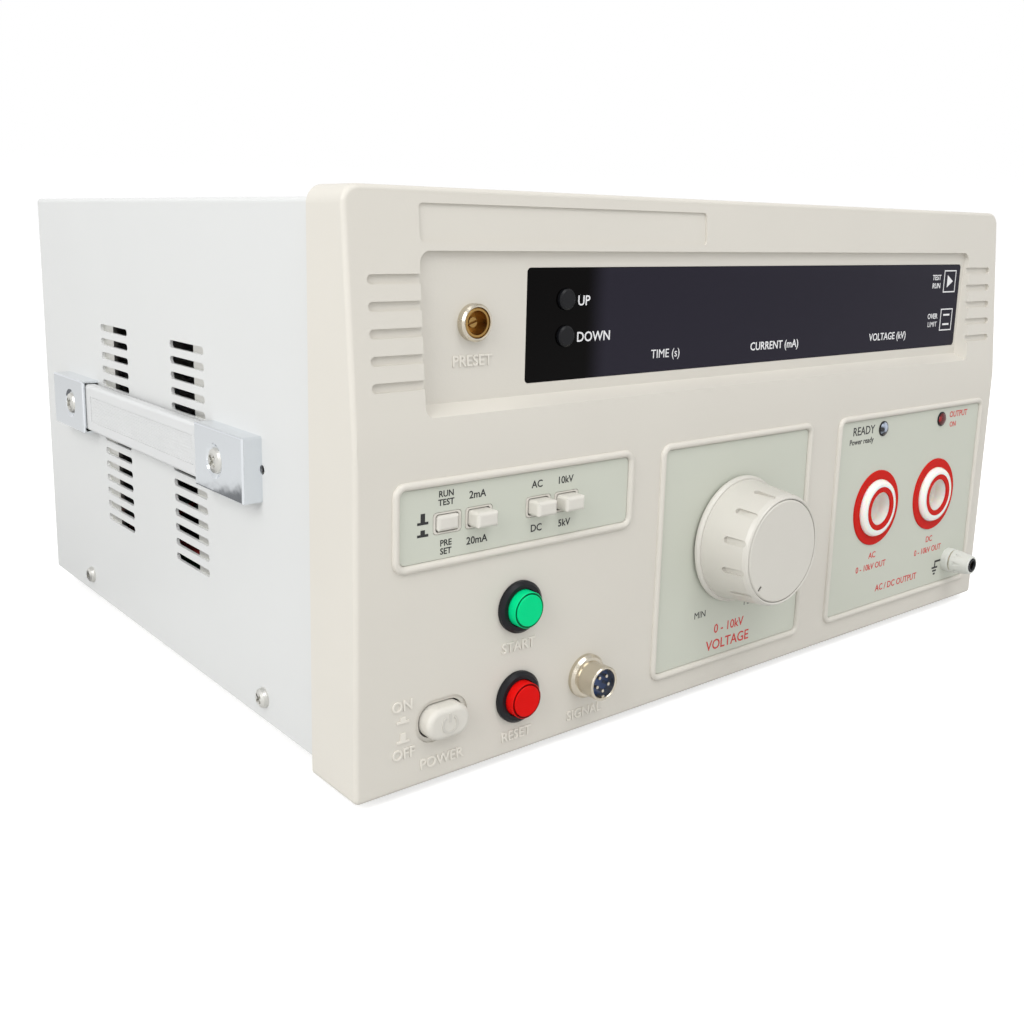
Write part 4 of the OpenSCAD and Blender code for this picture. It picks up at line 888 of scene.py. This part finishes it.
class ConnectorOperator(bpy.types.Operator):
    """Finishes the control connector and its raised word"""

    bl_idname = "tester.connector"
    bl_label = "Control connector"

    def execute(self, context):
        colours = context.scene.tester_colours
        sizes = context.scene.tester_sizes
        dress(use(nickel_plate), "control_shell", "control_pins")
        dress(use(blue_phenolic), "control_insert")
        x, z = middle("control_insert")
        art = Artwork(front_plane(FACE_Y), sizes.raised)
        moulded_words(art, [("SIGNAL", x, z - LABEL_DROP)], sizes.label)
        art.piece("connector_word", use(rubbed_abs_painted_light, colours.bezel), "tester")
        return {"FINISHED"}


class RegulatorOperator(bpy.types.Operator):
    """Finishes the regulator from knob to winding and prints its plate"""

    bl_idname = "tester.regulator"
    bl_label = "Regulator"

    def execute(self, context):
        colours = context.scene.tester_colours
        sizes = context.scene.tester_sizes
        dress(use(polished_abs, shade(colours.keys, 0.93)), "regulator_knob")
        dress(use(satin_abs, shade(colours.keys, 0.97)), "knob_disc")
        dress(use(zinc_plate), "regulator_shaft")
        dress(use(turned_brass), "brush_arm")
        dress(use(enamelled_copper), "variac_winding")
        dress(use(cast_aluminium), "variac_bracket")
        x, z = middle("regulator_knob")
        art = Artwork(front_plane(FACE_Y), sizes.ink)
        ends_drop, min_left, max_right = 27.1, 17.7, 11.5
        art.word("MIN", x - min_left, z - ends_drop, 1.1 * sizes.word)
        art.word("MAX", x + max_right, z - ends_drop, 1.1 * sizes.word)
        inner, outer, half, sunk = 16.1, 18.1, 0.5, 0.5  # of the mark on the disc
        cos, sin = math.cos(ZERO_TURN), math.sin(ZERO_TURN)
        notch = Artwork(front_plane(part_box("knob_disc")[0].y + sunk * MM), sizes.ink)
        notch.outline([(x + r * cos - w * sin, z + r * sin + w * cos)
                       for r, w in ((inner, -half), (outer, -half), (outer, half), (inner, half))])
        notch.piece("knob_mark", use(screen_ink, "black_ink", colours.black_ink), "regulator")
        art.piece("regulator_print", use(screen_ink, "black_ink", colours.black_ink), "tester")
        red = Artwork(front_plane(FACE_Y), sizes.ink)
        red.word("0 - 10kV", x - 0.5, z - 34.6, 1.5 * sizes.word)
        red.word("VOLTAGE", x - 0.6, z - 40.9, 1.7 * sizes.word)
        red.piece("regulator_print_red", use(screen_ink, "red_ink", colours.red_ink), "tester")
        return {"FINISHED"}


class OutputsOperator(bpy.types.Operator):
    """Finishes the output sockets and lamps and prints their plate"""

    bl_idname = "tester.outputs"
    bl_label = "Outputs"

    def execute(self, context):
        colours = context.scene.tester_colours
        sizes = context.scene.tester_sizes
        dress(use(white_urea, colours.insulator), "hv_socket_bodies")
        dress(use(tinted_polycarbonate, "brick_polycarbonate", colours.disc), "hv_socket_rings")
        dress(use(turned_brass), "hv_contacts")
        dress(use(black_nylon, colours.dark), "lamp_holders")
        # patch, low and high set each lens's patches: partly its inner parts, partly painted highlights and
        # reflections
        for node, name, code, clear, patch, low, high in (
                ("safety_lamp", "clear_epoxy", "#8E97A6", 0.3, 1.8, 0.08, 2.0),
                ("hv_lamp", "red_epoxy", "#7A0C10", 0.1, 3.0, 0.5, 1.6)):
            dress(use(cast_epoxy, name, code, clear, patch, low, high), node)
        red = Artwork(front_plane(FACE_Y), sizes.ink)
        lo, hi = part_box("hv_socket_rings")
        radius = (hi.z - lo.z) / 2 / MM
        z = ((lo.z + hi.z) / 2 - BASE_Z) / MM
        name_drop, range_drop, title_drop = 21.3, 26.5, 37.4
        for x, text in ((lo.x / MM + radius, "AC"), (hi.x / MM - radius, "DC")):
            red.word(text, x + 0.5, z - name_drop, 1.15 * sizes.word)
            red.word("0 - 10kV OUT", x + 0.3, z - range_drop, 1.15 * sizes.word)
        red.word("AC / DC OUTPUT", (lo.x + hi.x) / 2 / MM - 1, z - title_drop, 1.25 * sizes.word)
        lamp_x, lamp_z = middle("hv_lamp")
        red.word("OUTPUT", lamp_x + 6.8, lamp_z + 1.4, 1.15 * sizes.word, "LEFT")
        red.word("ON", lamp_x + 7.6, lamp_z - 3.2, sizes.word, "LEFT")
        red.piece("output_print_red", use(screen_ink, "red_ink", colours.red_ink), "tester")
        art = Artwork(front_plane(FACE_Y), sizes.ink)
        lamp_x, lamp_z = middle("safety_lamp")
        art.word("READY", lamp_x - 6.4, lamp_z + 0.5, 1.5 * sizes.word, "RIGHT")
        art.word("Power ready", lamp_x - 6.6, lamp_z - 3.9, sizes.word, "RIGHT")
        art.piece("output_print", use(screen_ink, "black_ink", colours.black_ink), "tester")
        return {"FINISHED"}


class GroundPostOperator(bpy.types.Operator):
    """Finishes the binding post, with its black tip and the earth symbol"""

    bl_idname = "tester.ground_post"
    bl_label = "Binding post"

    def execute(self, context):
        colours = context.scene.tester_colours
        sizes = context.scene.tester_sizes
        dress(use(polished_abs, colours.post), "ground_base", "ground_cap")
        dress(use(turned_brass), "ground_stud")
        dress(use(nickel_plate), "ground_washer")
        tip = (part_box("ground_cap")[0].y - FACE_Y) / MM
        hole, face, rim = 2.15, 3.0, 3.3
        front, edge, back = tip - 0.25, tip + 0.05, tip + 1.3
        turned("post_tip", "ground_cap", [(hole, front), (face, front), (rim, edge), (rim, back), (hole, back)],
               use(black_nylon, colours.dark), "post_cap")
        x, z = middle("ground_cap")
        stroke = sizes.stroke / MM
        art = Artwork(front_plane(FACE_Y), sizes.ink)
        sign_x, lead_x, stem = x - 10.2, x - 5.6, 2
        art.bar(sign_x - stroke / 2, z, lead_x, z + stroke)
        art.bar(sign_x - stroke / 2, z - stem, sign_x + stroke / 2, z)
        for half, down in ((2.4, stem), (1.6, 3.5), (0.8, 5)):
            art.bar(sign_x - half, z - down - stroke, sign_x + half, z - down)
        art.piece("earth_sign", use(screen_ink, "black_ink", colours.black_ink), "tester")
        return {"FINISHED"}


class RearOperator(bpy.types.Operator):
    """Finishes the mains inlet and its fuse drawer"""

    bl_idname = "tester.rear"
    bl_label = "Rear inlet"

    def execute(self, context):
        dress(use(black_nylon, context.scene.tester_colours.dark), "inlet_body", "fuse_drawer")
        dress(use(turned_brass), "inlet_pins")
        return {"FINISHED"}


class InsideOperator(bpy.types.Operator):
    """Finishes the transformer, the control board and the mains lead"""

    bl_idname = "tester.inside"
    bl_label = "Inside"

    def execute(self, context):
        dress(use(stacked_steel), "transformer_core")
        dress(use(polyester_tape), "transformer_coil")
        dress(use(circuit_board), "control_board")
        dress(use(blue_phenolic), "board_parts")
        dress(use(silicone_sleeve), "mains_lead")
        return {"FINISHED"}


OPERATORS = (StageOperator, CasingOperator, HandlesOperator, DisplayOperator, PresetOperator, KeysOperator,
             PushButtonsOperator, PowerOperator, ConnectorOperator, RegulatorOperator, OutputsOperator,
             GroundPostOperator, RearOperator, InsideOperator)


class TesterPanel(bpy.types.Panel):
    """Lists the tester's makers and their sizes and colours"""

    bl_idname = "VIEW3D_PT_tester"
    bl_label = "Hipot tester"
    bl_space_type = "VIEW_3D"
    bl_region_type = "UI"
    bl_category = "Tester"

    def draw(self, context):
        for operator in OPERATORS:
            self.layout.operator(operator.bl_idname)
        for group in (context.scene.tester_sizes, context.scene.tester_colours, context.scene.tester_stage):
            for key in group.__annotations__:
                self.layout.prop(group, key)


GROUPS = {"tester_colours": TesterColours, "tester_sizes": TesterSizes, "tester_stage": TesterStage}


def register():
    for group in GROUPS.values():
        bpy.utils.register_class(group)
    for key, group in GROUPS.items():
        setattr(bpy.types.Scene, key, PointerProperty(type=group))
    for operator in OPERATORS:
        bpy.utils.register_class(operator)
    bpy.utils.register_class(TesterPanel)


def unregister():
    bpy.utils.unregister_class(TesterPanel)
    for operator in reversed(OPERATORS):
        bpy.utils.unregister_class(operator)
    for key, group in GROUPS.items():
        delattr(bpy.types.Scene, key)
        bpy.utils.unregister_class(group)


def main():
    register()
    bpy.ops.tester.stage()
    bpy.ops.tester.casing()
    bpy.ops.tester.handles()
    bpy.ops.tester.display()
    bpy.ops.tester.preset()
    bpy.ops.tester.keys()
    bpy.ops.tester.push_buttons()
    bpy.ops.tester.power()
    bpy.ops.tester.connector()
    bpy.ops.tester.regulator()
    bpy.ops.tester.outputs()
    bpy.ops.tester.ground_post()
    bpy.ops.tester.rear()
    bpy.ops.tester.inside()


if __name__ == "__main__":
    main()
